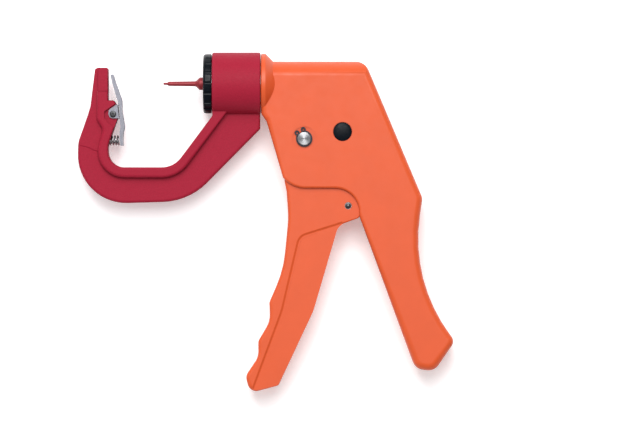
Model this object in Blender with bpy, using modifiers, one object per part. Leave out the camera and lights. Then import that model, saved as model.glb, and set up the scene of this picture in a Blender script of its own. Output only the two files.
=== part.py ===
"""Ear tag applicator lying on its right side, in metres, Z up.

Three directions describe the tool: along (from its nose to its back), up (from its grips to its top) and side
(towards its left side, which looks up here). All sizes below are millimetres in those directions, measured from the
plunger axis at the rear face of the red barrel. Its left and right halves meet in the plane side = 0.
"""

import math

import bmesh
import bpy
from mathutils import Matrix, Vector

MM = 0.001
GAP = 0.3  # clearance between neighbours
SMALL_R = 5.5  # roundings smaller than this have fewer facets

# Plunger, its stroke and the pivot that drives it
STROKE = 34.0
PIVOT = (52.5, -73.4)
CROSS_PIN_REST = 56.0
CROSS_PIN_R = 2.0
ROD_R = 5.0
ROD_FRONT = -34.3
ROD_BACK = CROSS_PIN_REST + 5.5
ROD_COLLAR = 21.3
PIN_STEM_R = 2.6
TAIL_HALF = ROD_R - 1.0
TRIGGER_PIN_R = 1.9

# Round the plunger rod, from the inside out: return spring, sleeve, lugs, lock ring and barrel
SPRING_WIRE = 0.7
SPRING_MEAN = ROD_R + 1.2 + SPRING_WIRE
ROD_COLLAR_R = SPRING_MEAN + SPRING_WIRE
SLEEVE_BORE = ROD_COLLAR_R + 0.6
SLEEVE_WALL = 2.8
SLEEVE_R = SLEEVE_BORE + SLEEVE_WALL
FLANGE_R = SLEEVE_R + 2.5
LUG_R = SLEEVE_R + 2.9
RING_R = LUG_R + 3.95
BARREL_WALL = 7.5
BARREL_R = SLEEVE_R + GAP + BARREL_WALL
COLLAR_R = BARREL_R - 0.7

# The tool's own zero in the world: the box round the whole tool is centred over the world's zero and stands on it.
ZERO = Vector((-2.75, 82.99, BARREL_R)) * MM

# Layers across the tool, from its middle plane out
PLATE_IN = TAIL_HALF + GAP
PLATE_OUT = PLATE_IN + 2.5
CHEEK_IN = PLATE_OUT + GAP
CHEEK_OUT = CHEEK_IN + 2.4
WALL_IN = CHEEK_OUT + GAP
WALL_OUT = WALL_IN + 2.4
PANEL_OUT = CHEEK_OUT - 0.9
SEAT_FLOOR = WALL_OUT - 0.5
BOSS_END = WALL_OUT - 1.6
HEAD_SEAT = WALL_OUT - 3.0

# Stations along the plunger axis: sleeve, barrel, bayonet and bush
SLEEVE_FRONT = -33.4
FLANGE_FROM = 1.6
FLANGE_TO = 5.6
BARREL_FRONT = -29.3
BARREL_BACK = -0.2
LUG_FROM = -33.2
LUG_TO = -31.2
BUSH_FROM = -31.0
BUSH_TO = -26.0
RING_FRONT = -34.6

# Stop axle, service plugs, clip, screws
BACK = CROSS_PIN_REST + 6.5
AXLE = (26.1, -33.2)
AXLE_R = 4.0
AXLE_BOSS_R = 6.3
AXLE_END = WALL_OUT + 1.8
CIRCLIP_AT = SEAT_FLOOR + 0.4
CIRCLIP_THICK = 0.8
PLUG = (49.1, -29.0)
PLUG_R = 5.6
PLUG_STEM = 3.9
CLIP_PIVOT = (-88.7, -18.4)
CLIP_PIN_R = 1.4
CLIP_HALF = 7.8
EAR_IN = 6.8
FRAME_HALF = 8.5
WEB_HALF = 4.6
ANVIL = -91.7
SCREWS = [(12.6, -26.5), (BACK + 5.8, -16.0), (76.5, -63.0), (80.0, -97.0), (91.5, -127.5), (101.5, -157.5)]
SCREW_R = 1.5
SCREW_HEAD_R = 2.9

# Room over the fork of the drive plates and behind it
FORK_TIP = math.dist((CROSS_PIN_REST - STROKE, 0.0), PIVOT) + 2.42
CAVITY_TOP = PIVOT[1] + FORK_TIP + 2.5
TOP = CAVITY_TOP + 2.4

# Outlines seen from the left side: along, up, corner radius, radius of the rounded edge there
HOUSING = [
    (3.0, TOP, 0, 6.5),
    (BACK, TOP, 7.4, 6.5),
    (97.1, -68.8, 6.0, 5.2),
    (89.8, -119.0, 96.0, 5.2),
    (116.6, -154.6, 4.8, 4.2),
    (104.3, -172.7, 7.2, 5.0),
    (92.9, -171.4, 7.2, 5.0),
    (59.2, -79.6, 0, 2.0),
    (59.1, -62.9, 14.5, 1.4),
    (19.4, -62.9, 18.0, 1.4),
    (13.4, -56.6, 0, 1.4),
    (2.3, -19.6, 0, 2.4),
    (2.3, -12.0, 0, 2.4),
]
CAVITY = [
    (9.0, CAVITY_TOP, 0, 3.6),
    (BACK - 1.4, CAVITY_TOP, 5.0, 4.0),
    (87.1, -52.0, 3.0, 2.6),
    (66.0, -55.5, 2.0, 0.5),
    (63.5, -64.0, 2.0, 0.5),
    (62.2, -73.4, 0, 0.5),
    (56.0, -80.0, 0, 0.5),
    (40.0, -86.0, 0, 0.5),
    (11.0, -86.0, 0, 0.5),
    (11.0, -54.5, 0, 0.5),
    (14.5, -51.9, 0, 0.5),
    (9.0, -33.3, 0, 0.5),
]
HANDLE_CAVITY = [
    (66.6, -90.0, 2.0, 0.5),
    (90.6, -90.0, 2.4, 1.8),
    (86.3, -119.8, 90.0, 1.8),
    (111.2, -153.2, 3.0, 1.8),
    (103.2, -167.2, 3.0, 1.8),
    (95.1, -167.6, 2.4, 1.5),
]
LUG = [
    (47.5, -69.0, 5.5, 0),
    (56.0, -60.0, 5.0, 0),
    (67.5, -54.0, 1.0, 0),
    (72.0, -82.0, 1.0, 0),
    (62.0, -81.2, 1.0, 0),
    (59.8, -79.3, 1.0, 0),
    (46.5, -79.5, 5.5, 0),
]
WEB = [
    (-99.2, 9.7, 1.8, 1.4),
    (-102.2, -13.6, 12.0, 1.8),
    (-109.8, -35.2, 12.0, 1.8),
    (-110.9, -72.7, 29.0, 1.8),
    (-43.3, -70.7, 39.0, 1.8),
    (-0.4, -27.2, 1.8, 1.6),
    (-0.4, -13.5, 0, 1.0),
    (-29.1, -13.5, 0, 1.0),
    (-29.1, -19.4, 0, 1.0),
    (-52.3, -50.3, 14.4, 1.4),
    (-91.4, -50.3, 9.6, 1.4),
    (-91.7, -37.0, 12.0, 1.4),
    (-86.0, -20.9, 1.2, 1.0),
    (-86.0, -13.6, 1.2, 1.0),
    (-88.3, -10.1, 1.2, 1.0),
    (-91.7, -10.1, 0, 0.8),
    (-91.7, 9.5, 1.2, 1.0),
]
RIM = [
    (-98.2, 9.5, 1.2, 1.0),
    (-98.5, -21.7, 4.8, 1.4),
    (-95.0, -27.7, 4.8, 1.4),
    (-97.9, -38.2, 12.0, 1.4),
    (-97.9, -56.6, 16.2, 1.4),
    (-49.7, -56.6, 19.8, 1.4),
    (-16.5, -12.0, 0, 1.0),
    (-29.1, -12.0, 0, 1.0),
]
EAR_POCKET = [
    (-80.0, -11.6, 0, 0),
    (-86.6, -11.6, 0, 0),
    (-94.0, -16.8, 1.6, 0),
    (-94.0, -20.6, 1.6, 0),
    (-92.2, -23.4, 1.6, 0),
    (-88.6, -26.4, 1.0, 0),
    (-80.0, -26.4, 0, 0),
]
TRIGGER_LOW = [
    (16.9, -74.8, 36.0, 2.6),
    (13.5, -112.0, 66.0, 2.6),
    (5.3, -131.3, 3.4, 2.6),
    (5.7, -142.6, 15.0, 2.6),
    (-1.4, -154.7, 3.4, 2.6),
    (-1.3, -164.2, 12.0, 2.6),
    (-9.1, -175.6, 4.8, 2.6),
    (-6.4, -186.4, 5.4, 2.6),
    (10.7, -181.3, 2.4, 2.0),
    (31.6, -136.6, 24.0, 1.2),
    (46.6, -85.2, 8.0, 1.0),
]
PANEL = [
    (-4.9, -183.4, 0, 0),
    (12.5, -136.6, 48.0, 0),
    (23.0, -91.6, 7.2, 0),
    (48.8, -83.5, 0, 0),
    (62.0, -92.0, 0, 0),
    (46.0, -150.0, 0, 0),
    (20.0, -200.0, 0, 0),
    (-6.0, -196.0, 0, 0),
]
CLIP_LINE = [
    (-89.4, 5.3),
    (-88.1, 0.2),
    (-86.9, -3.4),
    (-85.8, -7.1),
    (-84.9, -9.4),
    (-84.5, -12.4),
    (-84.3, -15.7),
    (-83.9, -19.1),
    (-83.5, -22.8),
    (-83.1, -26.0),
    (-83.6, -29.0),
    (-83.8, -32.9),
    (-83.4, -37.3),
]
CLIP_EAR = [
    (-84.3, -12.3, 0, 0),
    (-86.6, -12.7, 1.0, 0),
    (-91.4, -15.9, 2.6, 0),
    (-91.4, -20.9, 2.6, 0),
    (-83.7, -20.9, 0, 0),
]


def place(along, up, side=0.0):
    return ZERO + Vector((along, up, side)) * MM


def polar(radius, degrees, centre=PIVOT):
    turn = math.radians(degrees)
    return (centre[0] + radius * math.cos(turn), centre[1] + radius * math.sin(turn))


def heading(point, centre=PIVOT):
    return math.degrees(math.atan2(point[1] - centre[1], point[0] - centre[0]))


REST = heading((CROSS_PIN_REST, 0.0))
PULL = heading((CROSS_PIN_REST - STROKE, 0.0)) - REST


def rounded(corners):
    """Points of an outline with its corners rounded: along, up and the radius of the edge there. Two corners whose
    roundings don't fit the edge between them share it."""
    count = len(corners)
    spots = [Vector(corner[:2]) for corner in corners]
    sides = [spots[(n + 1) % count] - spots[n] for n in range(count)]
    turns = [sides[n - 1].angle(sides[n]) for n in range(count)]
    wanted = [corner[2] * math.tan(turn / 2) for corner, turn in zip(corners, turns)]
    shares = [min(1.0, 0.98 * sides[n].length / max(wanted[n] + wanted[(n + 1) % count], 1e-6)) for n in range(count)]
    points = []
    for n, (x, y, radius, edge) in enumerate(corners):
        reach = wanted[n] * min(shares[n - 1], shares[n])
        if reach < 0.05:
            points.append((x, y, edge))
            continue
        true_radius = reach / math.tan(turns[n] / 2)
        before, after = -sides[n - 1].normalized(), sides[n].normalized()
        centre = spots[n] + (before + after).normalized() * (true_radius / math.cos(turns[n] / 2))
        first = spots[n] + before * reach - centre
        last = spots[n] + after * reach - centre
        sweep = first.angle_signed(last) * -1
        steps = max(2, round(math.degrees(abs(sweep)) / (22 if true_radius > SMALL_R else 45)))
        for k in range(steps + 1):
            spoke = first.copy()
            spoke.rotate(Matrix.Rotation(sweep * k / steps, 2))
            points.append((centre.x + spoke.x, centre.y + spoke.y, edge))
    return points


def inward(points):
    """For each point of an outline, the step that moves it into the outline by one millimetre."""
    area = sum(a[0] * b[1] - b[0] * a[1] for a, b in zip(points, points[1:] + points[:1]))
    turn = 1 if area > 0 else -1
    steps = []
    for n, here in enumerate(points):
        before = Vector(here[:2]) - Vector(points[n - 1][:2])
        after = Vector(points[(n + 1) % len(points)][:2]) - Vector(here[:2])
        first = Vector((-before.y, before.x)).normalized() * turn
        second = Vector((-after.y, after.x)).normalized() * turn
        middle = (first + second).normalized()
        steps.append(middle / max(middle.dot(first), 0.6))
    return steps


def flat_into(mesh, points, low, high):
    """Adds a flat body with square edges to a bmesh in millimetres: a filled outline, extruded."""
    curve = bpy.data.curves.new("outline", "CURVE")
    curve.dimensions = "2D"
    curve.fill_mode = "BOTH"
    curve.extrude = (high - low) / 2
    line = curve.splines.new("POLY")
    line.points.add(len(points) - 1)
    line.use_cyclic_u = True
    for spot, (x, y, edge) in zip(line.points, points):
        spot.co = (x, y, 0, 1)
    drawn = bpy.data.objects.new("outline", curve)
    drawn.location.z = (high + low) / 2
    bpy.context.scene.collection.objects.link(drawn)
    graph = bpy.context.evaluated_depsgraph_get()
    solid = bpy.data.meshes.new_from_object(drawn.evaluated_get(graph))
    solid.transform(drawn.matrix_world)
    bpy.data.objects.remove(drawn)
    bpy.data.curves.remove(curve)
    mesh.from_mesh(solid)
    bpy.data.meshes.remove(solid)
    bmesh.ops.remove_doubles(mesh, verts=mesh.verts, dist=0.001)


def slab_into(mesh, points, low, high, round_low=False, round_high=False, steps=2):
    """Adds a closed flat body between two heights to a bmesh in millimetres. A rounded edge's radius changes along the
    outline, so the body is lofted: each layer is the outline moved in by its own share of the radius at each point."""
    if not (round_low or round_high):
        flat_into(mesh, points, low, high)
        return
    steps_in = inward(points)
    turns = [math.pi / 2 * k / steps for k in range(steps + 1)]
    layers = [(0, low, 0)]
    if round_low:
        layers = [(1 - math.sin(a), low, 1 - math.cos(a)) for a in turns]
    if round_high:
        layers += [(1 - math.cos(a), high, math.sin(a) - 1) for a in turns]
    else:
        layers.append((0, high, 0))
    rings = []
    for inset, height, lift in layers:
        ring = []
        for (x, y, edge), step in zip(points, steps_in):
            spot = Vector((x, y)) + step * edge * inset
            ring.append(mesh.verts.new((spot.x, spot.y, height + edge * lift)))
        rings.append(ring)
    bmesh.ops.bridge_loops(mesh, edges=loops_of(mesh, rings))
    mesh.faces.new(rings[0])
    mesh.faces.new(rings[-1])


def loops_of(mesh, rings):
    """The closed edge loops through rings of vertices."""
    return [mesh.edges.new((ring[n - 1], ring[n])) for ring in rings for n in range(len(ring))]


def finish_mesh(name, mesh, origin=(0.0, 0.0, 0.0)):
    """Turns a bmesh in the tool's millimetres into an object whose origin is at the point given."""
    bmesh.ops.recalc_face_normals(mesh, faces=mesh.faces)
    shift = Matrix.Translation(-Vector(origin))
    bmesh.ops.transform(mesh, matrix=Matrix.Scale(MM, 4) @ shift, verts=mesh.verts)
    data = bpy.data.meshes.new(name)
    mesh.to_mesh(data)
    mesh.free()
    obj = bpy.data.objects.new(name, data)
    obj.location = place(*origin)
    return obj


def slab(name, corners, low, high, round_low=False, round_high=False, origin=(0, 0, 0), steps=2):
    mesh = bmesh.new()
    slab_into(mesh, rounded(corners), low, high, round_low, round_high, steps)
    return finish_mesh(name, mesh, origin)


def turned(name, profile, steps=32, centre=None, at=0.0, closed=False, lead=0.0):
    """A turned body. The profile lists radius and height, down the outer side. It turns about the side direction
    through centre, or about the plunger axis where there is no centre, and then the heights run along the tool."""
    data = bpy.data.meshes.new(name)
    chain = [(n, n + 1) for n in range(len(profile) - 1)]
    if closed:
        chain.append((len(profile) - 1, 0))
    out = (math.cos(math.radians(lead)) * MM, math.sin(math.radians(lead)) * MM)
    data.from_pydata([(r * out[0], r * out[1], (h - at) * MM) for r, h in profile], chain, [])
    obj = bpy.data.objects.new(name, data)
    screw = obj.modifiers.new("turn", "SCREW")
    screw.steps = screw.render_steps = steps
    screw.use_merge_vertices = True
    screw.merge_threshold = 0.00001
    screw.use_smooth_shade = False
    if centre is None:
        obj.rotation_euler = (0, math.pi / 2, 0)
        obj.location = place(at, 0, 0)
    else:
        obj.location = place(centre[0], centre[1], at)
    return obj


def rod_into(mesh, centre, radius, low, high, steps):
    """Adds a plain round rod along the side direction to a bmesh in millimetres."""
    matrix = Matrix.Translation((centre[0], centre[1], (low + high) / 2))
    size = {"radius1": radius, "radius2": radius, "depth": high - low}
    bmesh.ops.create_cone(mesh, cap_ends=True, segments=steps, matrix=matrix, **size)


def box_into(mesh, low, high, turn=None):
    """Adds a box to a bmesh in millimetres, turned about the plunger axis by the angle given."""
    size = Vector(high) - Vector(low)
    middle = (Vector(high) + Vector(low)) / 2
    matrix = Matrix.Translation(middle) @ Matrix.Diagonal((*size, 1))
    if turn is not None:
        matrix = Matrix.Rotation(math.radians(turn), 4, "X") @ matrix
    bmesh.ops.create_cube(mesh, size=1, matrix=matrix)


def boxes(name, *ranges):
    mesh = bmesh.new()
    for entry in ranges:
        box_into(mesh, *entry)
    return finish_mesh(name, mesh)


def rods(name, entries, steps=12):
    """Plain round rods along the side direction: centre, radius, low and high end."""
    mesh = bmesh.new()
    for centre, radius, low, high in entries:
        rod_into(mesh, centre, radius, low, high, steps)
    return finish_mesh(name, mesh)


def coil(name, start, end, mean, wire, turns, up=0.0, dead=0.0):
    """A compression spring along the tool, whose end coils lie close together."""
    curve = bpy.data.curves.new(name, "CURVE")
    curve.dimensions = "3D"
    curve.bevel_depth = wire * MM
    curve.bevel_resolution = 2
    curve.use_fill_caps = True
    per_turn = 8
    count = round(turns * per_turn)
    line = curve.splines.new("POLY")
    line.points.add(count)
    close = 2.15 * wire
    free = end - start - 2 * wire - 2 * dead * close
    live = turns - 2 * dead
    for n in range(count + 1):
        turn = turns * n / count
        if turn < dead:
            along = close * turn
        elif turn > turns - dead:
            along = dead * close + free + close * (turn - (turns - dead))
        else:
            along = dead * close + free * (turn - dead) / live
        angle = 2 * math.pi * turn
        spot = (start + wire + along, up + mean * math.cos(angle), mean * math.sin(angle))
        line.points[n].co = (*(Vector(spot) * MM + ZERO), 1)
    return bpy.data.objects.new(name, curve)


def combine(obj, other, operation):
    step = obj.modifiers.new(other.name, "BOOLEAN")
    step.operation = operation
    step.solver = "EXACT"
    step.object = other
    if other.name not in TOOLS.objects:
        TOOLS.objects.link(other)
    other.hide_render = True
    other.display_type = "WIRE"


def cut(obj, *others):
    for other in others:
        combine(obj, other, "DIFFERENCE")


def join(obj, *others):
    for other in others:
        combine(obj, other, "UNION")


def material(name, colour, metallic, roughness):
    made = bpy.data.materials.new(name)
    made.use_nodes = True
    shader = made.node_tree.nodes["Principled BSDF"]
    shader.inputs["Base Color"].default_value = (*colour, 1)
    shader.inputs["Metallic"].default_value = metallic
    shader.inputs["Roughness"].default_value = roughness
    made.diffuse_color = (*colour, 1)
    return made


def keep(obj, surface, smooth=True):
    """Makes an object a finished piece."""
    obj.data.materials.append(surface)
    PIECES.objects.link(obj)
    if obj.type == "MESH" and smooth:
        for face in obj.data.polygons:
            face.use_smooth = True
        obj.data.set_sharp_from_angle(angle=math.radians(32))
        for step in obj.modifiers:
            if step.type == "SCREW":
                step.use_smooth_shade = True
    return obj


for old in list(bpy.data.objects):
    bpy.data.objects.remove(old)
PIECES = bpy.data.collections.new("pieces")
TOOLS = bpy.data.collections.new("cutters")
TOOLS.hide_render = True
bpy.context.scene.collection.children.link(PIECES)
bpy.context.scene.collection.children.link(TOOLS)


# Housing: two moulded halves with a round collar, a hollow for the drive and a hollow grip

collar = turned(
    "collar_shape",
    [(0, 9.9), (COLLAR_R - 7.4, 9.9), (COLLAR_R, 2.9), (COLLAR_R, 0.7), (COLLAR_R - 0.6, 0.1), (0, 0.1)],
    steps=32,
)
inner_space = slab("inner_space", CAVITY, -WALL_IN, WALL_IN, True, True, steps=1)
grip_space = slab("grip_space", HANDLE_CAVITY, 0.4 - WALL_IN, WALL_IN - 0.4)
sleeve_seat = turned(
    "sleeve_seat",
    [
        (0, FLANGE_TO + 6.0),
        (SLEEVE_BORE + 0.8, FLANGE_TO + 6.0),
        (SLEEVE_BORE + 0.8, FLANGE_TO + GAP),
        (FLANGE_R + GAP, FLANGE_TO + GAP),
        (FLANGE_R + GAP, FLANGE_FROM - GAP),
        (SLEEVE_R + GAP, FLANGE_FROM - GAP),
        (SLEEVE_R + GAP, -2.0),
        (0, -2.0),
    ],
    steps=24,
    lead=3.1,
)
POCKET_R = 9.9
POCKET_DEEP = WALL_IN - 0.05
pivot_pocket = rods(
    "pivot_pocket",
    [(PIVOT, POCKET_R, TAIL_HALF, POCKET_DEEP), (PIVOT, POCKET_R, -POCKET_DEEP, -TAIL_HALF)],
    22,
)


def housing_half(name, side):
    far = -side * 1.0
    if side > 0:
        half = slab(name, HOUSING, far, WALL_OUT, False, True)
    else:
        half = slab(name, HOUSING, -WALL_OUT, far, True, False)
    join(half, collar)
    cut(half, inner_space, grip_space, sleeve_seat)
    lug_span = sorted((far * 0.9, side * (TAIL_HALF - 0.1)))
    join(half, slab(name + "_lug", LUG, *lug_span))
    boss_span = sorted((far * 0.8, side * BOSS_END))
    bosses = [(SCREWS[n], 3.7, *boss_span) for n in (0, 1, 3, 4, 5)]
    axle_span = sorted((side * (CHEEK_IN - 0.1), side * BOSS_END))
    join(half, rods(name + "_bosses", [*bosses, (AXLE, AXLE_BOSS_R, *axle_span)]))
    cut(half, pivot_pocket)
    through = 20.0
    holes = [
        (PIVOT, TRIGGER_PIN_R + GAP, -through, through),
        (AXLE, AXLE_R + GAP, -through, through),
        (PLUG, PLUG_STEM + GAP, side * (WALL_IN - 2), side * through),
    ]
    sunk = sorted((side * SEAT_FLOOR, side * through))
    seats = [(AXLE, 7.2, *sunk), (PLUG, PLUG_R + GAP, *sunk)]
    if side > 0:
        holes += [(spot, SCREW_R + GAP, -4.0, WALL_OUT - 4.0) for spot in SCREWS]
    else:
        holes += [(spot, SCREW_R + GAP, -through, 4.0) for spot in SCREWS]
        seats += [(spot, SCREW_HEAD_R + 0.5, -through, -HEAD_SEAT) for spot in SCREWS]
    holes = [(c, r, *sorted((a, b))) for c, r, a, b in holes]
    cut(half, rods(name + "_holes", holes), rods(name + "_seats", seats, 16))
    edge = side * GAP / 2
    trim = sorted((edge, -side * 40))
    cut(half, boxes(name + "_trim", ((-40, -200, trim[0]), (140, 60, trim[1]))))
    return half


orange = material("moulded_housing", (0.86, 0.16, 0.05), 0.0, 0.42)
keep(housing_half("housing_left", 1), orange)
orange_right = material("moulded_housing_right", (0.86, 0.16, 0.05), 0.0, 0.42)
keep(housing_half("housing_right", -1), orange_right)

HEAD_TOP = -HEAD_SEAT - GAP
SCREW_END = WALL_OUT - 4.6
for n, spot in enumerate(SCREWS):
    screw = turned(
        f"housing_screw_{n + 1}",
        [
            (0, SCREW_END),
            (SCREW_R - 0.5, SCREW_END),
            (SCREW_R, SCREW_END - 0.6),
            (SCREW_R, HEAD_TOP),
            (SCREW_HEAD_R, HEAD_TOP),
            (SCREW_HEAD_R, HEAD_TOP - 1.4),
            (SCREW_HEAD_R - 0.6, HEAD_TOP - 2.0),
            (0, HEAD_TOP - 2.0),
        ],
        8,
        spot,
    )
    bit = []
    for length, width in ((1.7, 0.4), (0.4, 1.7)):
        low = (spot[0] - length, spot[1] - width, HEAD_TOP - 3.0)
        bit.append((low, (spot[0] + length, spot[1] + width, HEAD_TOP - 0.9)))
    cut(screw, boxes(f"screw_slot_{n + 1}", bit[0]), boxes(f"screw_cross_{n + 1}", bit[1]))
    keep(screw, material(f"screw_steel_{n + 1}", (0.55, 0.56, 0.58), 1.0, 0.3))


# Trigger: finger grip and, hidden in the housing, a rim that keeps the mouth closed while it is pulled

RIM_ROOM = 3.3
INNER_R = math.dist(AXLE, PIVOT) - AXLE_BOSS_R - RIM_ROOM
RIM_R = INNER_R + 3.7
trigger_top = [
    (*polar(9.3, -38), 0, 0.8),
    (*polar(9.3, -12), 4.0, 0.8),
    (*polar(9.6, 30), 4.0, 0.8),
    (*polar(12.0, 62), 4.0, 0.8),
    (*polar(INNER_R, 76), 2.0, 0.8),
    (*polar(INNER_R + 0.6, 88), 20.0, 0.8),
    (*polar(INNER_R + 0.6, 102), 20.0, 0.8),
    (*polar(INNER_R + 0.6, 116), 20.0, 0.8),
    (*polar(INNER_R, 129), 2.0, 0.8),
    (*polar(RIM_R, 134), 2.0, 0.8),
    (*polar(RIM_R + 0.4, 147), 30.0, 0.8),
    (*polar(RIM_R, 158.5), 2.0, 1.2),
]
TRIGGER = [*trigger_top, *TRIGGER_LOW, (58.5, -80.9, 1.6, 0.8)]
trigger = slab("trigger", TRIGGER, -CHEEK_OUT, CHEEK_OUT, True, True, (*PIVOT, 0.0))
DOWEL = polar(30.0, 233.0)
DOWEL_R = 1.5
DOWEL_END = CHEEK_IN + 0.5
plate_slot = [
    (*polar(14.0, -75), 3.0, 0),
    (*polar(14.0, -20), 3.0, 0),
    (*polar(14.5, 40), 3.0, 0),
    (*polar(48.0, 72), 0, 0),
    (*polar(48.0, 104), 0, 0),
    (*polar(36.0, 106), 2.0, 0),
    (*polar(36.5, 128), 9.0, 0),
    (*polar(38.5, 146), 9.0, 0),
    (*polar(33.0, 163), 5.0, 0),
    (*polar(15.0, 185), 8.0, 0),
    (29.2, -93.4, 4.0, 0),
    (26.4, -98.4, 4.0, 0),
    (34.6, -106.0, 4.0, 0),
    (48.0, -104.0, 0, 0),
    (52.0, -92.0, 0, 0),
]
panel_cut = bmesh.new()
panel_points = rounded(PANEL)
slab_into(panel_cut, panel_points, PANEL_OUT, WALL_OUT + 1.8)
slab_into(panel_cut, panel_points, -WALL_OUT - 1.8, -PANEL_OUT)
cut(
    trigger,
    slab("trigger_slot", plate_slot, -CHEEK_IN, CHEEK_IN),
    finish_mesh("trigger_panels", panel_cut),
    rods(
        "trigger_holes",
        [(PIVOT, TRIGGER_PIN_R + GAP, -15, 15), (DOWEL, DOWEL_R + GAP, -DOWEL_END - 0.4, DOWEL_END + 0.4)],
    ),
)
keep(trigger, material("moulded_trigger", (0.84, 0.15, 0.05), 0.0, 0.42))
PIN_END = CHEEK_OUT - 0.1
keep(
    turned(
        "trigger_pivot_pin",
        [
            (0, PIN_END),
            (TRIGGER_PIN_R - 0.7, PIN_END),
            (TRIGGER_PIN_R - 0.6, PIN_END - 0.3),
            (TRIGGER_PIN_R, PIN_END - 0.6),
            (TRIGGER_PIN_R, 0.6 - PIN_END),
            (TRIGGER_PIN_R - 0.6, 0.3 - PIN_END),
            (TRIGGER_PIN_R - 0.7, -PIN_END),
            (0, -PIN_END),
        ],
        16,
        PIVOT,
    ),
    material("pivot_pin_steel", (0.62, 0.62, 0.64), 1.0, 0.25),
)
keep(
    turned("plate_dowel", [(0, DOWEL_END), (DOWEL_R, DOWEL_END), (DOWEL_R, -DOWEL_END), (0, -DOWEL_END)], 14, DOWEL),
    material("dowel_steel", (0.5, 0.5, 0.52), 1.0, 0.35),
)


# Drive plates: the fork at the top carries the plunger's cross pin. The fork's slot is the path that this pin takes
# over the turning plate while both keep one ratio, so each degree of pull moves the plunger equally far.

SLOT_HALF = CROSS_PIN_R + GAP
FORK_HALF = SLOT_HALF + 2.6
axle_reach = math.dist(AXLE, PIVOT) * math.sin(math.radians(heading(AXLE) - REST - PULL))
WAIST = axle_reach - AXLE_R - 0.35


def plate_point(across, out):
    """A point of the plate at rest: across its line, and out along it from the pivot."""
    turn = math.radians(REST)
    x = PIVOT[0] + out * math.cos(turn) + across * math.sin(turn)
    y = PIVOT[1] + out * math.sin(turn) - across * math.cos(turn)
    return (x, y)


def pin_path(travel):
    """Where the cross pin lies over the plate, after the plunger has moved by travel."""
    spot = (CROSS_PIN_REST - travel, 0.0)
    turn = math.radians(heading(spot) - REST - PULL * travel / STROKE)
    out = math.dist(spot, PIVOT)
    return (-out * math.sin(turn), out * math.cos(turn))


PATH = [Vector(pin_path(STROKE * k / 34)) for k in range(35)]
FORK_ROOT = min(spot.y for spot in PATH)
PLATE = [
    (*plate_point(-FORK_HALF, FORK_TIP), 1.2, 0),
    (*plate_point(-FORK_HALF, FORK_ROOT - 7.5), 8.0, 0),
    (*plate_point(-WAIST, FORK_ROOT - 15.5), 8.0, 0),
    (*plate_point(-WAIST, 16.0), 8.0, 0),
    (*polar(8.0, 165), 6.0, 0),
    (31.0, -94.6, 2.0, 0),
    (28.4, -98.4, 3.5, 0),
    (35.2, -103.6, 3.5, 0),
    (39.4, -99.6, 4.0, 0),
    (44.2, -88.6, 4.0, 0),
    (*polar(8.3, 262), 3.0, 0),
    (*polar(8.6, 300), 5.0, 0),
    (*polar(9.0, 335), 6.0, 0),
    (*polar(8.4, 10), 6.0, 0),
    (*plate_point(WAIST, 16.0), 8.0, 0),
    (*plate_point(WAIST, FORK_ROOT - 15.5), 8.0, 0),
    (*plate_point(FORK_HALF, FORK_ROOT - 7.5), 8.0, 0),
    (*plate_point(FORK_HALF, FORK_TIP), 3.2, 0),
]


def fork_slot():
    """The slot's outline: wide enough at each height for the pin at every travel, and open at the fork's tip."""
    rise = FORK_TIP - 1.4 - FORK_ROOT
    heights = [FORK_ROOT + rise * k / 6 for k in range(7)] + [FORK_TIP + 3.0]
    left, right = [], []
    for height in heights:
        discs = [(spot.x, SLOT_HALF**2 - (height - spot.y) ** 2) for spot in PATH]
        spans = [(x, math.sqrt(room)) for x, room in discs if room > 0]
        if height > PATH[-1].y:
            spans.append((PATH[-1].x, SLOT_HALF))
        left.append(Vector((min(x - reach for x, reach in spans), height)))
        right.append(Vector((max(x + reach for x, reach in spans), height)))
    base = (left[0] + right[0]) / 2
    reach = (right[0] - left[0]).length / 2
    turns = [math.pi * k / 7 for k in range(8, 14)]
    low = [base + Vector((math.cos(a), math.sin(a))) * (reach + 0.06) for a in turns]
    return [(*plate_point(*spot), 0) for spot in [*reversed(left), *low, *right]]


slot_mesh = bmesh.new()
slab_into(slot_mesh, fork_slot(), -9, 9)
slot_cutter = finish_mesh("fork_slot", slot_mesh)
plate_holes = rods("plate_holes", [(PIVOT, TRIGGER_PIN_R + GAP, -9, 9), (DOWEL, DOWEL_R + GAP, -9, 9)])
for side, name in ((1, "drive_plate_left"), (-1, "drive_plate_right")):
    span = sorted((side * PLATE_IN, side * PLATE_OUT))
    plate = slab(name, PLATE, *span, origin=(*PIVOT, 0.0))
    cut(plate, slot_cutter, plate_holes)
    keep(plate, material(name + "_steel", (0.5, 0.5, 0.52), 1.0, 0.38))


# Plunger, its cross pin, spring and the pin that pierces

STEM_END = -22.4
plunger = turned(
    "plunger",
    [
        (0, ROD_BACK),
        (ROD_R - 0.5, ROD_BACK),
        (ROD_R, ROD_BACK - 0.5),
        (ROD_R, ROD_COLLAR + 3.0),
        (ROD_COLLAR_R - 0.3, ROD_COLLAR + 3.0),
        (ROD_COLLAR_R, ROD_COLLAR + 2.7),
        (ROD_COLLAR_R, ROD_COLLAR),
        (ROD_R, ROD_COLLAR),
        (ROD_R, ROD_FRONT + 0.5),
        (ROD_R - 0.5, ROD_FRONT),
        (PIN_STEM_R + GAP, ROD_FRONT),
        (PIN_STEM_R + GAP, STEM_END + 0.4),
        (0, STEM_END + 0.4),
    ],
    20,
)
TAIL_FROM = CROSS_PIN_REST - 9.5
cut(
    plunger,
    boxes(
        "tail_flats",
        ((TAIL_FROM, -9, TAIL_HALF), (ROD_BACK + 8.5, 9, 12)),
        ((TAIL_FROM, -9, -12), (ROD_BACK + 8.5, 9, -TAIL_HALF)),
    ),
    rods("cross_hole", [((CROSS_PIN_REST, 0), CROSS_PIN_R + 0.25, -9, 9)]),
)
CROSS_END = PLATE_OUT + 1.4
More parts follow.
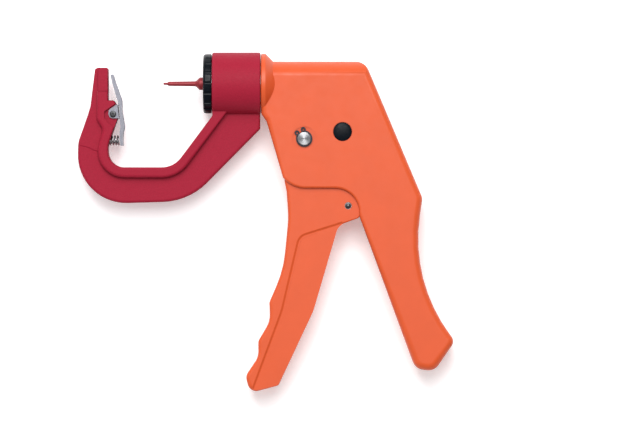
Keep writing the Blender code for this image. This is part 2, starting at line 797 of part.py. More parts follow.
keep(plunger, material("plunger_steel", (0.56, 0.56, 0.58), 1.0, 0.3))
keep(
    turned(
        "plunger_cross_pin",
        [(0, CROSS_END), (CROSS_PIN_R - 0.4, CROSS_END), (CROSS_PIN_R, CROSS_END - 0.4), (CROSS_PIN_R, 0.4 - CROSS_END),
         (CROSS_PIN_R - 0.4, -CROSS_END), (0, -CROSS_END)],
        16,
        (CROSS_PIN_REST, 0),
    ),
    material("cross_pin_steel", (0.6, 0.6, 0.62), 1.0, 0.28),
)
keep(
    coil("plunger_return_spring", BUSH_TO + GAP, ROD_COLLAR - GAP, SPRING_MEAN, SPRING_WIRE, 7.0, dead=0.75),
    material("return_spring_steel", (0.45, 0.46, 0.48), 1.0, 0.35),
)
keep(
    turned(
        "applicator_pin",
        [
            (0, STEM_END),
            (PIN_STEM_R - 0.4, STEM_END),
            (PIN_STEM_R, STEM_END - 0.4),
            (PIN_STEM_R, ROD_FRONT - GAP),
            (3.8, ROD_FRONT - GAP),
            (3.8, -36.9),
            (3.5, -37.3),
            (1.6, -39.3),
            (1.5, -39.9),
            (1.5, -55.5),
            (0.75, -56.1),
            (0.7, -58.2),
            (0.45, -58.7),
            (0, -58.7),
        ],
        16,
    ),
    material("applicator_pin_red", (0.42, 0.02, 0.03), 0.6, 0.38),
)


# Barrel sleeve, bush, lock ring and key

sleeve = turned(
    "barrel_sleeve",
    [
        (FLANGE_R - 0.4, FLANGE_TO),
        (FLANGE_R, FLANGE_TO - 0.4),
        (FLANGE_R, FLANGE_FROM),
        (SLEEVE_R, FLANGE_FROM),
        (SLEEVE_R, SLEEVE_FRONT + 0.5),
        (SLEEVE_R - 0.5, SLEEVE_FRONT),
        (SLEEVE_BORE - 2.0, SLEEVE_FRONT),
        (SLEEVE_BORE - 2.0, BUSH_FROM - GAP),
        (SLEEVE_BORE, BUSH_FROM - GAP),
        (SLEEVE_BORE, FLANGE_TO),
    ],
    24,
    closed=True,
)
lug_mesh = bmesh.new()
entry_mesh = bmesh.new()
for n in range(3):
    box_into(lug_mesh, (LUG_FROM, SLEEVE_R - 1.2, -3.2), (LUG_TO, LUG_R, 3.2), 120 * n)
    box_into(entry_mesh, (-36, SLEEVE_R - 1.5, -3.7), (-28, LUG_R + 0.35, 3.7), 120 * n + 60)
KEY_FROM = -20.0
KEY_TO = -8.0
KEY_LOW = SLEEVE_R - 1.2
KEY_HIGH = SLEEVE_R + 1.7
join(sleeve, finish_mesh("sleeve_lugs", lug_mesh))
cut(sleeve, boxes("sleeve_keyway", ((KEY_FROM - GAP, KEY_LOW - GAP, -1.8), (KEY_TO + GAP, SLEEVE_R + 3, 1.8))))
keep(sleeve, material("sleeve_steel", (0.5, 0.51, 0.53), 1.0, 0.36))
keep(
    turned(
        "guide_bush",
        [
            (SLEEVE_BORE - GAP, BUSH_TO),
            (SLEEVE_BORE - GAP, BUSH_FROM),
            (ROD_R + GAP, BUSH_FROM),
            (ROD_R + GAP, BUSH_TO),
        ],
        20,
        closed=True,
    ),
    material("bush_bronze", (0.55, 0.34, 0.14), 1.0, 0.35),
)
lock_ring = turned(
    "lock_ring",
    [
        (RING_R - 0.4, BARREL_FRONT - GAP),
        (RING_R, BARREL_FRONT - GAP - 0.4),
        (RING_R, RING_FRONT + 1.1),
        (RING_R - 1.3, RING_FRONT),
        (LUG_R + 0.6, RING_FRONT),
        (LUG_R + 0.6, LUG_TO + GAP),
        (SLEEVE_R + GAP, LUG_TO + GAP),
        (SLEEVE_R + GAP, BARREL_FRONT - GAP),
    ],
    36,
    closed=True,
)
FLUTES = 18
flute_mesh = bmesh.new()
for n in range(FLUTES):
    spoke = 2 * math.pi * (n + 0.5) / FLUTES
    centre = (-31.4, (RING_R + 0.75) * math.cos(spoke), (RING_R + 0.75) * math.sin(spoke))
    matrix = Matrix.Translation(centre) @ Matrix.Rotation(math.pi / 2, 4, "Y")
    bmesh.ops.create_cone(flute_mesh, cap_ends=True, segments=6, radius1=1.3, radius2=1.3, depth=4.4, matrix=matrix)
cut(lock_ring, finish_mesh("lock_ring_entries", entry_mesh), finish_mesh("lock_ring_flutes", flute_mesh))
keep(lock_ring, material("lock_ring_black", (0.02, 0.022, 0.025), 0.0, 0.42))
keep(
    boxes("frame_key", ((KEY_FROM, KEY_LOW, -1.5), (KEY_TO, KEY_HIGH, 1.5))),
    material("key_steel", (0.48, 0.48, 0.5), 1.0, 0.4),
    smooth=False,
)


# C-frame: cast web with a wide inner flange that ends in the anvil, and the barrel that slides over the sleeve

frame = slab("c_frame", WEB, -WEB_HALF, WEB_HALF, True, True)
band = [*WEB[8:], *RIM]
barrel = turned(
    "barrel_shape",
    [
        (0, BARREL_BACK),
        (BARREL_R - 0.3, BARREL_BACK),
        (BARREL_R, BARREL_BACK - 0.3),
        (BARREL_R, BARREL_FRONT + 1.0),
        (BARREL_R - 0.3, BARREL_FRONT + 0.3),
        (BARREL_R - 1.0, BARREL_FRONT),
        (0, BARREL_FRONT),
    ],
    32,
)
bore = turned(
    "frame_bore",
    [(0, 3.0), (SLEEVE_R + GAP, 3.0), (SLEEVE_R + GAP, -40.0), (0, -40.0)],
    24,
    lead=2.3,
)
pocket_mesh = bmesh.new()
pocket_points = rounded(EAR_POCKET)
slab_into(pocket_mesh, pocket_points, EAR_IN - GAP, 12)
slab_into(pocket_mesh, pocket_points, -12, GAP - EAR_IN)
CLIP_SPRING_UP = -34.1
SEAT = -91.9
anvil_hole = turned("anvil_hole", [(0, -80.0), (2.6, -80.0), (2.6, -110.0), (0, -110.0)], 16, lead=4.0)
seat_cut = turned("spring_seat", [(0, -84.0), (3.7, -84.0), (3.7, SEAT), (0, SEAT)], 16, lead=4.0)
seat_cut.location = place(0, CLIP_SPRING_UP, 0)
join(frame, slab("frame_band", band, -FRAME_HALF, FRAME_HALF, True, True), barrel)
cut(
    frame,
    bore,
    boxes("frame_keyway", ((KEY_FROM - GAP, SLEEVE_R - 3, -1.8), (5, KEY_HIGH + GAP, 1.8))),
    finish_mesh("ear_pockets", pocket_mesh),
    anvil_hole,
    seat_cut,
    rods("clip_pivot_hole", [(CLIP_PIVOT, CLIP_PIN_R + GAP, -12, 12)]),
)
keep(frame, material("frame_red", (0.36, 0.015, 0.035), 0.0, 0.5))


# Tag clip: pressed strip with a slot for the pin, two ears on the frame's boss, and a spring behind its lower arm


def strip(line, thick):
    """The outline of a bent strip: its middle line moved out to both sides."""
    left, right = [], []
    for n, here in enumerate(line):
        spot = Vector(here)
        along = (Vector(line[min(n + 1, len(line) - 1)]) - Vector(line[max(n - 1, 0)])).normalized()
        across = Vector((along.y, -along.x)) * thick / 2
        left.append((*(spot - across), 0))
        right.append((*(spot + across), 0))
    return [*left, *reversed(right)]


clip_origin = (*CLIP_PIVOT, 0.0)
clip_mesh = bmesh.new()
slab_into(clip_mesh, strip(CLIP_LINE, 1.2), -CLIP_HALF, CLIP_HALF)
clip = finish_mesh("tag_clip", clip_mesh, clip_origin)
ear_mesh = bmesh.new()
ear_points = rounded(CLIP_EAR)
slab_into(ear_mesh, ear_points, EAR_IN, CLIP_HALF)
slab_into(ear_mesh, ear_points, -CLIP_HALF, -EAR_IN)
join(clip, finish_mesh("clip_ears", ear_mesh))
cut(
    clip,
    boxes("clip_slot", ((-95, -5.5, -3.2), (-80, 12, 3.2))),
    rods("clip_eyes", [(CLIP_PIVOT, CLIP_PIN_R + GAP, -12, 12)]),
)
keep(clip, material("clip_steel", (0.6, 0.61, 0.63), 1.0, 0.28))
keep(
    turned(
        "clip_pivot_pin",
        [
            (0, 8.8),
            (1.6, 8.8),
            (2.0, 8.5),
            (2.0, CLIP_HALF + GAP),
            (CLIP_PIN_R, CLIP_HALF + GAP),
            (CLIP_PIN_R, -CLIP_HALF - GAP),
            (2.0, -CLIP_HALF - GAP),
            (2.0, -8.5),
            (1.6, -8.8),
            (0, -8.8),
        ],
        14,
        CLIP_PIVOT,
    ),
    material("clip_pin_steel", (0.55, 0.55, 0.57), 1.0, 0.3),
)
keep(
    coil("clip_spring", SEAT + GAP, -84.75, 2.75, 0.4, 3.5, up=CLIP_SPRING_UP),
    material("clip_spring_steel", (0.5, 0.5, 0.52), 1.0, 0.3),
)


# Stop axle across the housing, its circlips, and the plugs of the service holes

GROOVE_R = AXLE_R - 0.5
axle_half = [
    (0, AXLE_END),
    (AXLE_R - 0.4, AXLE_END),
    (AXLE_R, AXLE_END - 0.4),
    (AXLE_R, CIRCLIP_AT + CIRCLIP_THICK + 0.15),
    (GROOVE_R, CIRCLIP_AT + CIRCLIP_THICK + 0.15),
    (GROOVE_R, CIRCLIP_AT - 0.15),
    (AXLE_R, CIRCLIP_AT - 0.15),
]
keep(
    turned("stop_axle", [*axle_half, *[(r, -h) for r, h in reversed(axle_half)]], 16, AXLE),
    material("axle_steel", (0.66, 0.66, 0.68), 1.0, 0.22),
)
CLIP_IN = GROOVE_R + 0.2
CLIP_OUT = AXLE_R + 0.9
circlip = [polar(CLIP_OUT, a, AXLE) for a in range(144, 457, 18)]
circlip += [polar(CLIP_IN, a, AXLE) for a in range(450, 143, -18)]
for side, name in ((1, "stop_axle_circlip_left"), (-1, "stop_axle_circlip_right")):
    low, high = sorted((side * CIRCLIP_AT, side * (CIRCLIP_AT + CIRCLIP_THICK)))
    ring_mesh = bmesh.new()
    slab_into(ring_mesh, [(*spot, 0) for spot in circlip], low, high)
    ring = finish_mesh(name, ring_mesh)
    lug_spots = [polar(5.5, turn, AXLE) for turn in (141, 96)]
    join(ring, rods(name + "_lugs", [(spot, 1.5, low - 0.05, high + 0.05) for spot in lug_spots], 12))
    cut(ring, rods(name + "_eyes", [(spot, 0.6, low - 2, high + 2) for spot in lug_spots], 8))
    keep(ring, material(name + "_black", (0.03, 0.03, 0.035), 0.8, 0.4))

for side, name in ((1, "service_plug_left"), (-1, "service_plug_right")):
    head = SEAT_FLOOR + 0.25
    shape = [
        (0, head + 1.1),
        (PLUG_R - 1.6, head + 1.05),
        (PLUG_R - 0.4, head + 0.7),
        (PLUG_R, head + 0.2),
        (PLUG_R, head),
        (PLUG_STEM, head),
        (PLUG_STEM, WALL_IN - 0.3),
        (PLUG_STEM + 0.6, WALL_IN - 0.4),
        (PLUG_STEM - 0.2, WALL_IN - 1.7),
        (PLUG_STEM - 1.3, WALL_IN - 1.7),
        (PLUG_STEM - 1.3, WALL_IN + 1.2),
        (0, WALL_IN + 1.2),
    ]
    if side < 0:
        shape = [(r, -h) for r, h in reversed(shape)]
    plug = turned(name, shape, 16, PLUG)
    slots = sorted((side * (WALL_IN - 4), side * (WALL_OUT - 0.8)))
    cross = boxes(
        name + "_slots",
        ((PLUG[0] - 8, PLUG[1] - 0.6, slots[0]), (PLUG[0] + 8, PLUG[1] + 0.6, slots[1])),
    )
    cut(plug, cross)
    keep(plug, material(name + "_black", (0.015, 0.015, 0.018), 0.0, 0.45))
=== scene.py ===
"""Looks of an ear tag applicator that lies on its right side, in metres, Z up.

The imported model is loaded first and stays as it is. Fine pieces stand for its outer parts and carry their finishes,
and its inner parts stay with better materials.

Three directions describe the tool: along (from its nose to its back), up (from its grips to its top) and side
(towards its left side, which looks up here). Shapes are worked out in millimetres in those directions, from a zero
on the plunger axis just behind the red barrel.
"""

import math

import bmesh
import bpy
from bpy.props import FloatProperty, FloatVectorProperty, IntProperty, PointerProperty
from mathutils import Matrix, Vector


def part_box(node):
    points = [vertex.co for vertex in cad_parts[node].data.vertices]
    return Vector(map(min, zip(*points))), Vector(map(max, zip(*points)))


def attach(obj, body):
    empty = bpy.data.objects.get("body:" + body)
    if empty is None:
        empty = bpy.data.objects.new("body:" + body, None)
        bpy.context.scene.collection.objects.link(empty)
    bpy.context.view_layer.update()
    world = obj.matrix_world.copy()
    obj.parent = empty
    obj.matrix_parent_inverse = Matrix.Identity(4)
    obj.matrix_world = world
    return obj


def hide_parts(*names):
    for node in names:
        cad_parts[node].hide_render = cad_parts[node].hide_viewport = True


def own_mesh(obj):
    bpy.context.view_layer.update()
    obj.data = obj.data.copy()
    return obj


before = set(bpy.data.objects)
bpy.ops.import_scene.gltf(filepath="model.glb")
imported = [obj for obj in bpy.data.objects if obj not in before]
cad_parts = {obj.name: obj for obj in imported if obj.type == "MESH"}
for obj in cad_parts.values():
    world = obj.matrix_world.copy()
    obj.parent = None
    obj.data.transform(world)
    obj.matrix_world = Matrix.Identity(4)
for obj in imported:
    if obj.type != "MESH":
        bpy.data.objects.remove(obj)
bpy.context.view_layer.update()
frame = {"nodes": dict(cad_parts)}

bl_info = {
    "name": "Ear Tag Applicator",
    "version": (1, 0, 0),
    "blender": (4, 5, 0),
    "location": "3D View > Sidebar > Applicator",
    "description": "Dresses the packed model of an ear tag applicator with fine pieces and finishes",
    "category": "Add Mesh",
}

MM = 0.001
BARREL_BACK = -0.2

# The photograph in pixels, the place of the tool's zero in it, and the millimetres that a pixel stands for
PHOTO = (637, 442)
PHOTO_ZERO = (260.7, 83.4)
PIXEL = 0.6


def zero_point():
    """The tool's zero in the world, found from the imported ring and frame."""
    ring_low, ring_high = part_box("lock_ring")
    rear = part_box("c_frame")[1].x
    middle = (ring_low + ring_high) / 2
    return Vector((rear - BARREL_BACK * MM, middle.y, middle.z))


ZERO = zero_point()

# Layers across the tool, in millimetres from its middle plane
CHEEK_IN = 7.1
CHEEK_OUT = 9.5
WALL_IN = 9.8
WALL_OUT = 12.2
PANEL_OUT = 8.6
TAIL_HALF = 4.0
GAP = 0.3
SEAM = 0.15
BOSS_OUT = 10.6
THROUGH = 20.0

# Height of the housing's top above the plunger axis, in millimetres
TOP = 13.4

# Sign and name of each side
SIDES = ((1, "left"), (-1, "right"))

# Centres and radii, in millimetres
PIVOT = (52.5, -73.4)
PIVOT_PIN_R = 1.9
PIVOT_POCKET_R = 9.9
DOWEL = (34.446, -97.359)
AXLE = (26.1, -33.2)
AXLE_R = 4.0
AXLE_POST_R = 6.3
CIRCLIP_SEAT_R = 7.2
PLUG = (49.1, -29.0)
PLUG_R = 5.6
PLUG_HOLE_R = 4.2
BORE_R = 11.3
BARREL_R = 18.8
RING_R = 17.85
RING_FRONT = -34.6
RING_BACK = -29.6
RING_SEAT = -30.9
CLIP_PIVOT = (-88.7, -18.4)
CLIP_PIN_R = 1.4
CLIP_HALF = 7.8
CLIP_THICK = 1.35
EAR_IN = 6.8
FRAME_HALF = 8.5
WEB_HALF = 4.6
SPRING_UP = -34.1
SCREWS = [(12.6, -26.5), (68.3, -16.0), (76.5, -63.0), (80.0, -97.0), (91.5, -127.5), (101.5, -157.5)]
SCREW_HEAD_SIDE = -11.15
SCREW_HOLE_R = 1.8
SCREW_SEAT_R = 3.4
SCREW_POST_R = 3.7

# Outlines seen from the left side: along, up, corner radius, radius of the rounded edge there
HOUSING = [
    (3.0, TOP, 0, 2.0), (62.5, TOP, 9.0, 4.4), (97.1, -68.8, 6.0, 4.0), (89.8, -119.0, 96.0, 4.0),
    (116.6, -154.6, 4.8, 3.6), (104.3, -172.7, 7.2, 4.4), (92.9, -171.4, 7.2, 4.4), (59.2, -79.6, 0, 2.0),
    (59.1, -62.9, 14.5, 1.4), (19.4, -62.9, 18.0, 1.4), (13.4, -56.6, 0, 1.6), (3.4, -22.6, 3.0, 3.2),
    (0.5, -18.4, 0, 3.2), (0.5, -12.0, 0, 3.2),
]
CAVITY = [
    (9.0, 11.0, 0, 5.6), (61.1, 11.0, 5.0, 5.6), (87.1, -52.0, 3.0, 2.6), (66.0, -55.5, 2.0, 0.5),
    (63.5, -64.0, 2.0, 0.5), (62.2, -73.4, 0, 0.5), (56.0, -80.0, 0, 0.5), (40.0, -86.0, 0, 0.5),
    (11.0, -86.0, 0, 0.5), (11.0, -54.5, 0, 0.5), (14.5, -51.9, 0, 0.5), (9.0, -33.3, 0, 0.5),
]
GRIP_CAVITY = [
    (66.6, -90.0, 2.0, 0.5), (90.6, -90.0, 2.4, 1.8), (86.3, -119.8, 90.0, 1.8), (111.2, -153.2, 3.0, 1.8),
    (103.2, -167.2, 3.0, 1.8), (95.1, -167.6, 2.4, 1.5),
]
LUG = [
    (47.5, -69.0, 5.5, 0), (56.0, -60.0, 5.0, 0), (67.5, -54.0, 1.0, 0), (72.0, -82.0, 1.0, 0),
    (62.0, -81.2, 1.0, 0), (59.8, -79.3, 1.0, 0), (46.5, -79.5, 5.5, 0),
]
WEB = [
    (-99.2, 9.7, 1.8, 1.4), (-102.2, -13.6, 12.0, 1.8), (-109.8, -35.2, 12.0, 1.8), (-110.9, -72.7, 29.0, 1.8),
    (-43.3, -70.7, 39.0, 1.8), (-0.4, -27.2, 1.8, 1.6), (-0.4, -13.5, 0, 1.0), (-29.1, -13.5, 0, 1.0),
    (-29.1, -19.4, 0, 1.0), (-52.3, -50.3, 14.4, 1.4), (-91.4, -50.3, 9.6, 1.4), (-91.7, -37.0, 12.0, 1.4),
    (-86.0, -20.9, 1.2, 1.0), (-86.0, -13.6, 1.2, 1.0), (-88.3, -10.1, 1.2, 1.0), (-91.7, -10.1, 0, 1.1),
    (-91.7, 9.5, 1.2, 1.2),
]
RIM = [
    (-98.2, 9.5, 1.2, 1.2), (-98.5, -21.7, 4.8, 2.2), (-95.0, -27.7, 4.8, 2.4), (-97.9, -38.2, 12.0, 2.2),
    (-97.9, -56.6, 16.2, 2.0), (-49.7, -56.6, 19.8, 1.8), (-16.5, -12.0, 0, 1.0), (-29.1, -12.0, 0, 1.0),
]
PAD = [
    (-99.6, 9.3, 1.4, 0.9), (-102.4, -13.6, 10.0, 1.4), (-106.7, -27.9, 0.6, 0.5), (-107.3, -28.5, 0.6, 0.5),
    (-109.0, -34.6, 7.0, 0.8), (-109.3, -37.3, 1.0, 0.9), (-104.0, -38.6, 6.0, 1.0), (-100.6, -40.3, 4.0, 1.0),
    (-96.0, -41.6, 0, 1.0), (-94.0, -30.0, 0, 0.4), (-94.0, 9.3, 0, 0.4),
]
EAR_POCKET = [
    (-80.0, -11.6, 0, 0), (-86.6, -11.6, 0, 0), (-94.0, -16.8, 1.6, 0), (-94.0, -20.6, 1.6, 0),
    (-92.2, -23.4, 1.6, 0), (-88.6, -26.4, 1.0, 0), (-80.0, -26.4, 0, 0),
]
TRIGGER_GRIP = [
    (15.5, -65.0, 20.0, 2.0), (16.6, -80.5, 60.0, 2.2), (13.5, -112.0, 66.0, 2.2), (5.1, -131.3, 4.6, 2.2),
    (5.6, -142.6, 15.0, 2.2), (-1.6, -154.7, 5.0, 2.2), (-1.4, -164.2, 12.0, 2.2), (-9.2, -175.6, 5.4, 2.2),
    (-6.4, -186.0, 5.4, 2.6), (10.7, -181.3, 2.4, 2.0), (31.6, -136.6, 24.0, 1.2), (46.6, -85.2, 8.0, 1.0),
]
PANEL_STEP = [
    (33.8, -89.6, 0, 0), (23.9, -127.9, 2.0, 0), (16.0, -131.4, 0, 0), (15.0, -131.4, 0, 0), (19.9, -112.0, 0, 0),
    (24.1, -93.4, 5.0, 0),
]
PANEL = [
    (-4.9, -183.4, 0, 0.85), (12.5, -136.6, 48.0, 0.85), (23.0, -91.6, 7.2, 0.85), (48.8, -83.5, 0, 0.85),
    (62.0, -92.0, 0, 0.85), (46.0, -150.0, 0, 0.85), (20.0, -200.0, 0, 0.85), (-6.0, -196.0, 0, 0.85),
]
# The tag clip's middle line, and at each of its points the width of the rims along its edges
CLIP_LINE = [
    (-89.4, 5.3), (-88.1, 0.2), (-86.9, -3.4), (-85.8, -7.1), (-84.9, -9.4), (-84.5, -12.4), (-84.3, -15.7),
    (-83.9, -19.1), (-83.5, -22.8), (-83.1, -26.0), (-83.6, -29.0), (-83.8, -32.9), (-83.4, -37.3),
]
CLIP_RIM = [1.6, 1.9, 2.1, 2.4, 2.5, 2.2, 1.7, 1.9, 2.3, 2.4, 2.1, 1.8, 1.6]
CLIP_EAR = [
    (-84.3, -12.3, 0, 0), (-86.6, -12.7, 1.0, 0), (-91.4, -15.9, 2.6, 0), (-91.4, -20.9, 2.6, 0),
    (-83.7, -20.9, 0, 0),
]
EAR_BEND = [(-85.95, -12.0, 0, 0), (-85.25, -12.0, 0, 0), (-84.35, -21.2, 0, 0), (-85.05, -21.2, 0, 0)]
EAR_GAP = [(-85.9, -13.1, 0, 0), (-85.2, -13.1, 0, 0), (-84.55, -20.1, 0, 0), (-85.22, -20.1, 0, 0)]


class ApplicatorSizes(bpy.types.PropertyGroup):
    """Sizes of the fine pieces."""

    corner_step: FloatProperty(
        name="Corner step",
        description="Angle between neighbouring points of a rounded corner",
        default=math.radians(6),
        subtype="ANGLE",
    )
    edge_steps: IntProperty(name="Edge steps", description="Faces across a rounded edge", default=5, min=1)
    round_steps: IntProperty(name="Round steps", description="Faces round a turned piece", default=96, min=12)
    flute_count: IntProperty(name="Flutes", description="Grooves round the lock ring", default=18, min=3)
    flute_radius: FloatProperty(
        name="Flute radius", description="Radius of a groove's cutter", default=1.35 * MM, unit="LENGTH"
    )
    screw_head: FloatProperty(
        name="Screw head radius", description="Radius of a housing screw's head", default=2.9 * MM, unit="LENGTH"
    )
    screw_shank: FloatProperty(
        name="Screw shank radius", description="Radius of a housing screw's shank", default=1.5 * MM, unit="LENGTH"
    )
    return_wire: FloatProperty(
        name="Return spring wire", description="Radius of the return spring's wire", default=0.7 * MM, unit="LENGTH"
    )
    return_turns: FloatProperty(name="Return spring turns", description="Turns of the return spring", default=7.0)
    clip_wire: FloatProperty(
        name="Clip spring wire", description="Radius of the clip spring's wire", default=0.45 * MM, unit="LENGTH"
    )
    clip_turns: FloatProperty(name="Clip spring turns", description="Turns of the clip spring", default=3.5)


class ApplicatorColours(bpy.types.PropertyGroup):
    """Colours of the finishes."""

    housing: FloatVectorProperty(
        name="Housing", description="Moulded housing and trigger", default=(0.65, 0.087, 0.02), subtype="COLOR"
    )
    frame: FloatVectorProperty(
        name="Frame", description="Coated C-frame", default=(0.325, 0.013, 0.034), subtype="COLOR"
    )
    pin: FloatVectorProperty(
        name="Pin", description="Applicator pin", default=(0.27, 0.026, 0.034), subtype="COLOR"
    )
    black: FloatVectorProperty(
        name="Black", description="Lock ring and plugs", default=(0.002, 0.004, 0.007), subtype="COLOR"
    )
    steel: FloatVectorProperty(name="Steel", description="Bright steel", default=(0.6, 0.61, 0.63), subtype="COLOR")
    bronze: FloatVectorProperty(name="Bronze", description="Guide bush", default=(0.5, 0.3, 0.12), subtype="COLOR")


class ApplicatorStage(bpy.types.PropertyGroup):
    """Floor, light and camera."""

    floor: FloatVectorProperty(name="Floor", description="Floor colour", default=(0.96, 0.96, 0.96), subtype="COLOR")
    lens: FloatProperty(name="Lens", description="Focal length in millimetres", default=300.0)
    view_width: FloatProperty(
        name="View width", description="Width of the picture at the tool", default=0.3833, unit="LENGTH"
    )
    glow: FloatProperty(name="Floor glow", description="Light that the floor gives off itself", default=0.26)
    key: FloatProperty(name="Key light", description="Power of the light above the tool's top", default=20.0)
    fill: FloatProperty(name="Fill light", description="Power of the light from the nose's side", default=8.0)
    over: FloatProperty(name="Overhead light", description="Power of the wide light above the tool", default=30.2)
    sky: FloatProperty(name="Sky", description="Strength of the pale surroundings", default=0.42)


# Outlines and solids


def place(along, up, side=0.0):
    return ZERO + Vector((along, up, side)) * MM


def polar(radius, degrees, centre=PIVOT):
    turn = math.radians(degrees)
    return (centre[0] + radius * math.cos(turn), centre[1] + radius * math.sin(turn))


def span(side, near, far):
    """Low and high end of a range of heights on one side of the middle plane."""
    return sorted((side * near, side * far))


def both(near, far):
    """The same range of heights on the left and on the right side."""
    return ((near, far), (-far, -near))


def mirrored(half):
    """A turned body's profile of radius and height, from its upper half."""
    return [*half, *[(r, -h) for r, h in reversed(half)]]


def sizes():
    return bpy.context.scene.applicator_sizes


def colours():
    return bpy.context.scene.applicator_colours


def steel(share):
    """The bright steel's colour, darkened to a share of itself."""
    return [c * share for c in colours().steel]


def rounded(corners):
    """Points of an outline with its corners rounded: along, up and the radius of the edge there. Two corners whose
    roundings don't fit the edge between them share it."""
    count = len(corners)
    spots = [Vector(corner[:2]) for corner in corners]
    sides = [spots[(n + 1) % count] - spots[n] for n in range(count)]
    turns = [sides[n - 1].angle(sides[n]) for n in range(count)]
    wanted = [corner[2] * math.tan(turn / 2) for corner, turn in zip(corners, turns)]
    shares = [min(1.0, 0.98 * sides[n].length / max(wanted[n] + wanted[(n + 1) % count], 1e-6)) for n in range(count)]
    points = []
    for n, (x, y, _, edge) in enumerate(corners):
        reach = wanted[n] * min(shares[n - 1], shares[n])
        if reach < 0.05:
            points.append((x, y, edge))
            continue
        true_radius = reach / math.tan(turns[n] / 2)
        before, after = -sides[n - 1].normalized(), sides[n].normalized()
        centre = spots[n] + (before + after).normalized() * (true_radius / math.cos(turns[n] / 2))
        first = spots[n] + before * reach - centre
        last = spots[n] + after * reach - centre
        sweep = first.angle_signed(last) * -1
        steps = max(3, round(abs(sweep) / sizes().corner_step))
        for k in range(steps + 1):
            spoke = first.copy()
            spoke.rotate(Matrix.Rotation(sweep * k / steps, 2))
            points.append((centre.x + spoke.x, centre.y + spoke.y, edge))
    return points


def inward(points):
    """For each point of an outline, the step that moves it into the outline by one millimetre."""
    area = sum(a[0] * b[1] - b[0] * a[1] for a, b in zip(points, points[1:] + points[:1]))
    turn = 1 if area > 0 else -1
    steps = []
    for n, here in enumerate(points):
        before = Vector(here[:2]) - Vector(points[n - 1][:2])
        after = Vector(points[(n + 1) % len(points)][:2]) - Vector(here[:2])
        first = Vector((-before.y, before.x)).normalized() * turn
        second = Vector((-after.y, after.x)).normalized() * turn
        middle = (first + second).normalized()
        steps.append(middle / max(middle.dot(first), 0.6))
    return steps


def slab_into(mesh, points, low, high, round_low=False, round_high=False, layers=None):
    """Adds a closed flat body between two heights to a bmesh. The radius of its rounded edges changes along the
    outline, so it is lofted: each layer is the outline moved in by its own share of the radius at each point, at a
    height that is lifted by another share of it."""
    steps = sizes().edge_steps
    turns = [math.pi / 2 * k / steps for k in range(steps + 1)]
    if layers is None:
        layers = [(0, low, 0)]
        if round_low:
            layers = [(1 - math.sin(a), low, 1 - math.cos(a)) for a in turns]
        if round_high:
            layers += [(1 - math.cos(a), high, math.sin(a) - 1) for a in turns]
        else:
            layers.append((0, high, 0))
    steps_in = inward(points)
    rings = []
    for inset, height, lift in layers:
        ring = []
        for (x, y, edge), step in zip(points, steps_in):
            spot = Vector((x, y)) + step * edge * inset
            ring.append(mesh.verts.new((spot.x, spot.y, height + edge * lift)))
        rings.append(ring)
    edges = [mesh.edges.new((ring[n - 1], ring[n])) for ring in rings for n in range(len(ring))]
    bmesh.ops.bridge_loops(mesh, edges=edges)
    mesh.faces.new(rings[0])
    mesh.faces.new(rings[-1])


def solid(name, mesh):
    """Turns a bmesh in the tool's millimetres into an object at the world's zero."""
    bmesh.ops.recalc_face_normals(mesh, faces=mesh.faces)
    bmesh.ops.transform(mesh, matrix=Matrix.Translation(ZERO) @ Matrix.Scale(MM, 4), verts=mesh.verts)
    data = bpy.data.meshes.new(name)
    mesh.to_mesh(data)
    mesh.free()
    return bpy.data.objects.new(name, data)


def slab(name, corners, low, high, round_low=False, round_high=False):
    mesh = bmesh.new()
    slab_into(mesh, rounded(corners), low, high, round_low, round_high)
    return solid(name, mesh)


def turned(name, profile, steps=None, centre=None, lead=0.0, up=0.0):
    """A turned body from a profile of radius and height. It turns about the side direction through centre, or about
    a line along the tool where there is no centre. A profile that doesn't start on its axis is closed to a ring."""
    steps = steps or sizes().round_steps
    mesh = bmesh.new()
    spots = [mesh.verts.new((r, 0, h)) for r, h in profile]
    edges = [mesh.edges.new(pair) for pair in zip(spots, spots[1:])]
    if profile[0][0] > 0:
        edges.append(mesh.edges.new((spots[-1], spots[0])))
    bmesh.ops.rotate(mesh, verts=mesh.verts, matrix=Matrix.Rotation(math.radians(lead), 3, "Z"))
    bmesh.ops.spin(
        mesh, geom=[*mesh.verts, *mesh.edges], axis=(0, 0, 1), cent=(0, 0, 0), angle=2 * math.pi, steps=steps
    )
    bmesh.ops.remove_doubles(mesh, verts=mesh.verts, dist=0.0005)
    if centre is None:
        matrix = Matrix.Translation((0, up, 0)) @ Matrix.Rotation(math.pi / 2, 4, "Y")
    else:
        matrix = Matrix.Translation((*centre, 0))
    bmesh.ops.transform(mesh, matrix=matrix, verts=mesh.verts)
    return solid(name, mesh)


def rods(name, entries, steps=40):
    """Plain round rods along the side direction: centre, radius, low and high end."""
    mesh = bmesh.new()
    for centre, radius, low, high in entries:
        matrix = Matrix.Translation((centre[0], centre[1], (low + high) / 2))
        size = {"radius1": radius, "radius2": radius, "depth": high - low}
        bmesh.ops.create_cone(mesh, cap_ends=True, segments=steps, matrix=matrix, **size)
    return solid(name, mesh)


def boxes(name, *ranges):
    """Boxes from their low and high corners, each turned about the plunger axis by its own angle."""
    mesh = bmesh.new()
    for low, high, *turn in ranges:
        middle = (Vector(high) + Vector(low)) / 2
        matrix = Matrix.Translation(middle) @ Matrix.Diagonal((*(Vector(high) - Vector(low)), 1))
        if turn:
            matrix = Matrix.Rotation(math.radians(turn[0]), 4, "X") @ matrix
        bmesh.ops.create_cube(mesh, size=1, matrix=matrix)
    return solid(name, mesh)


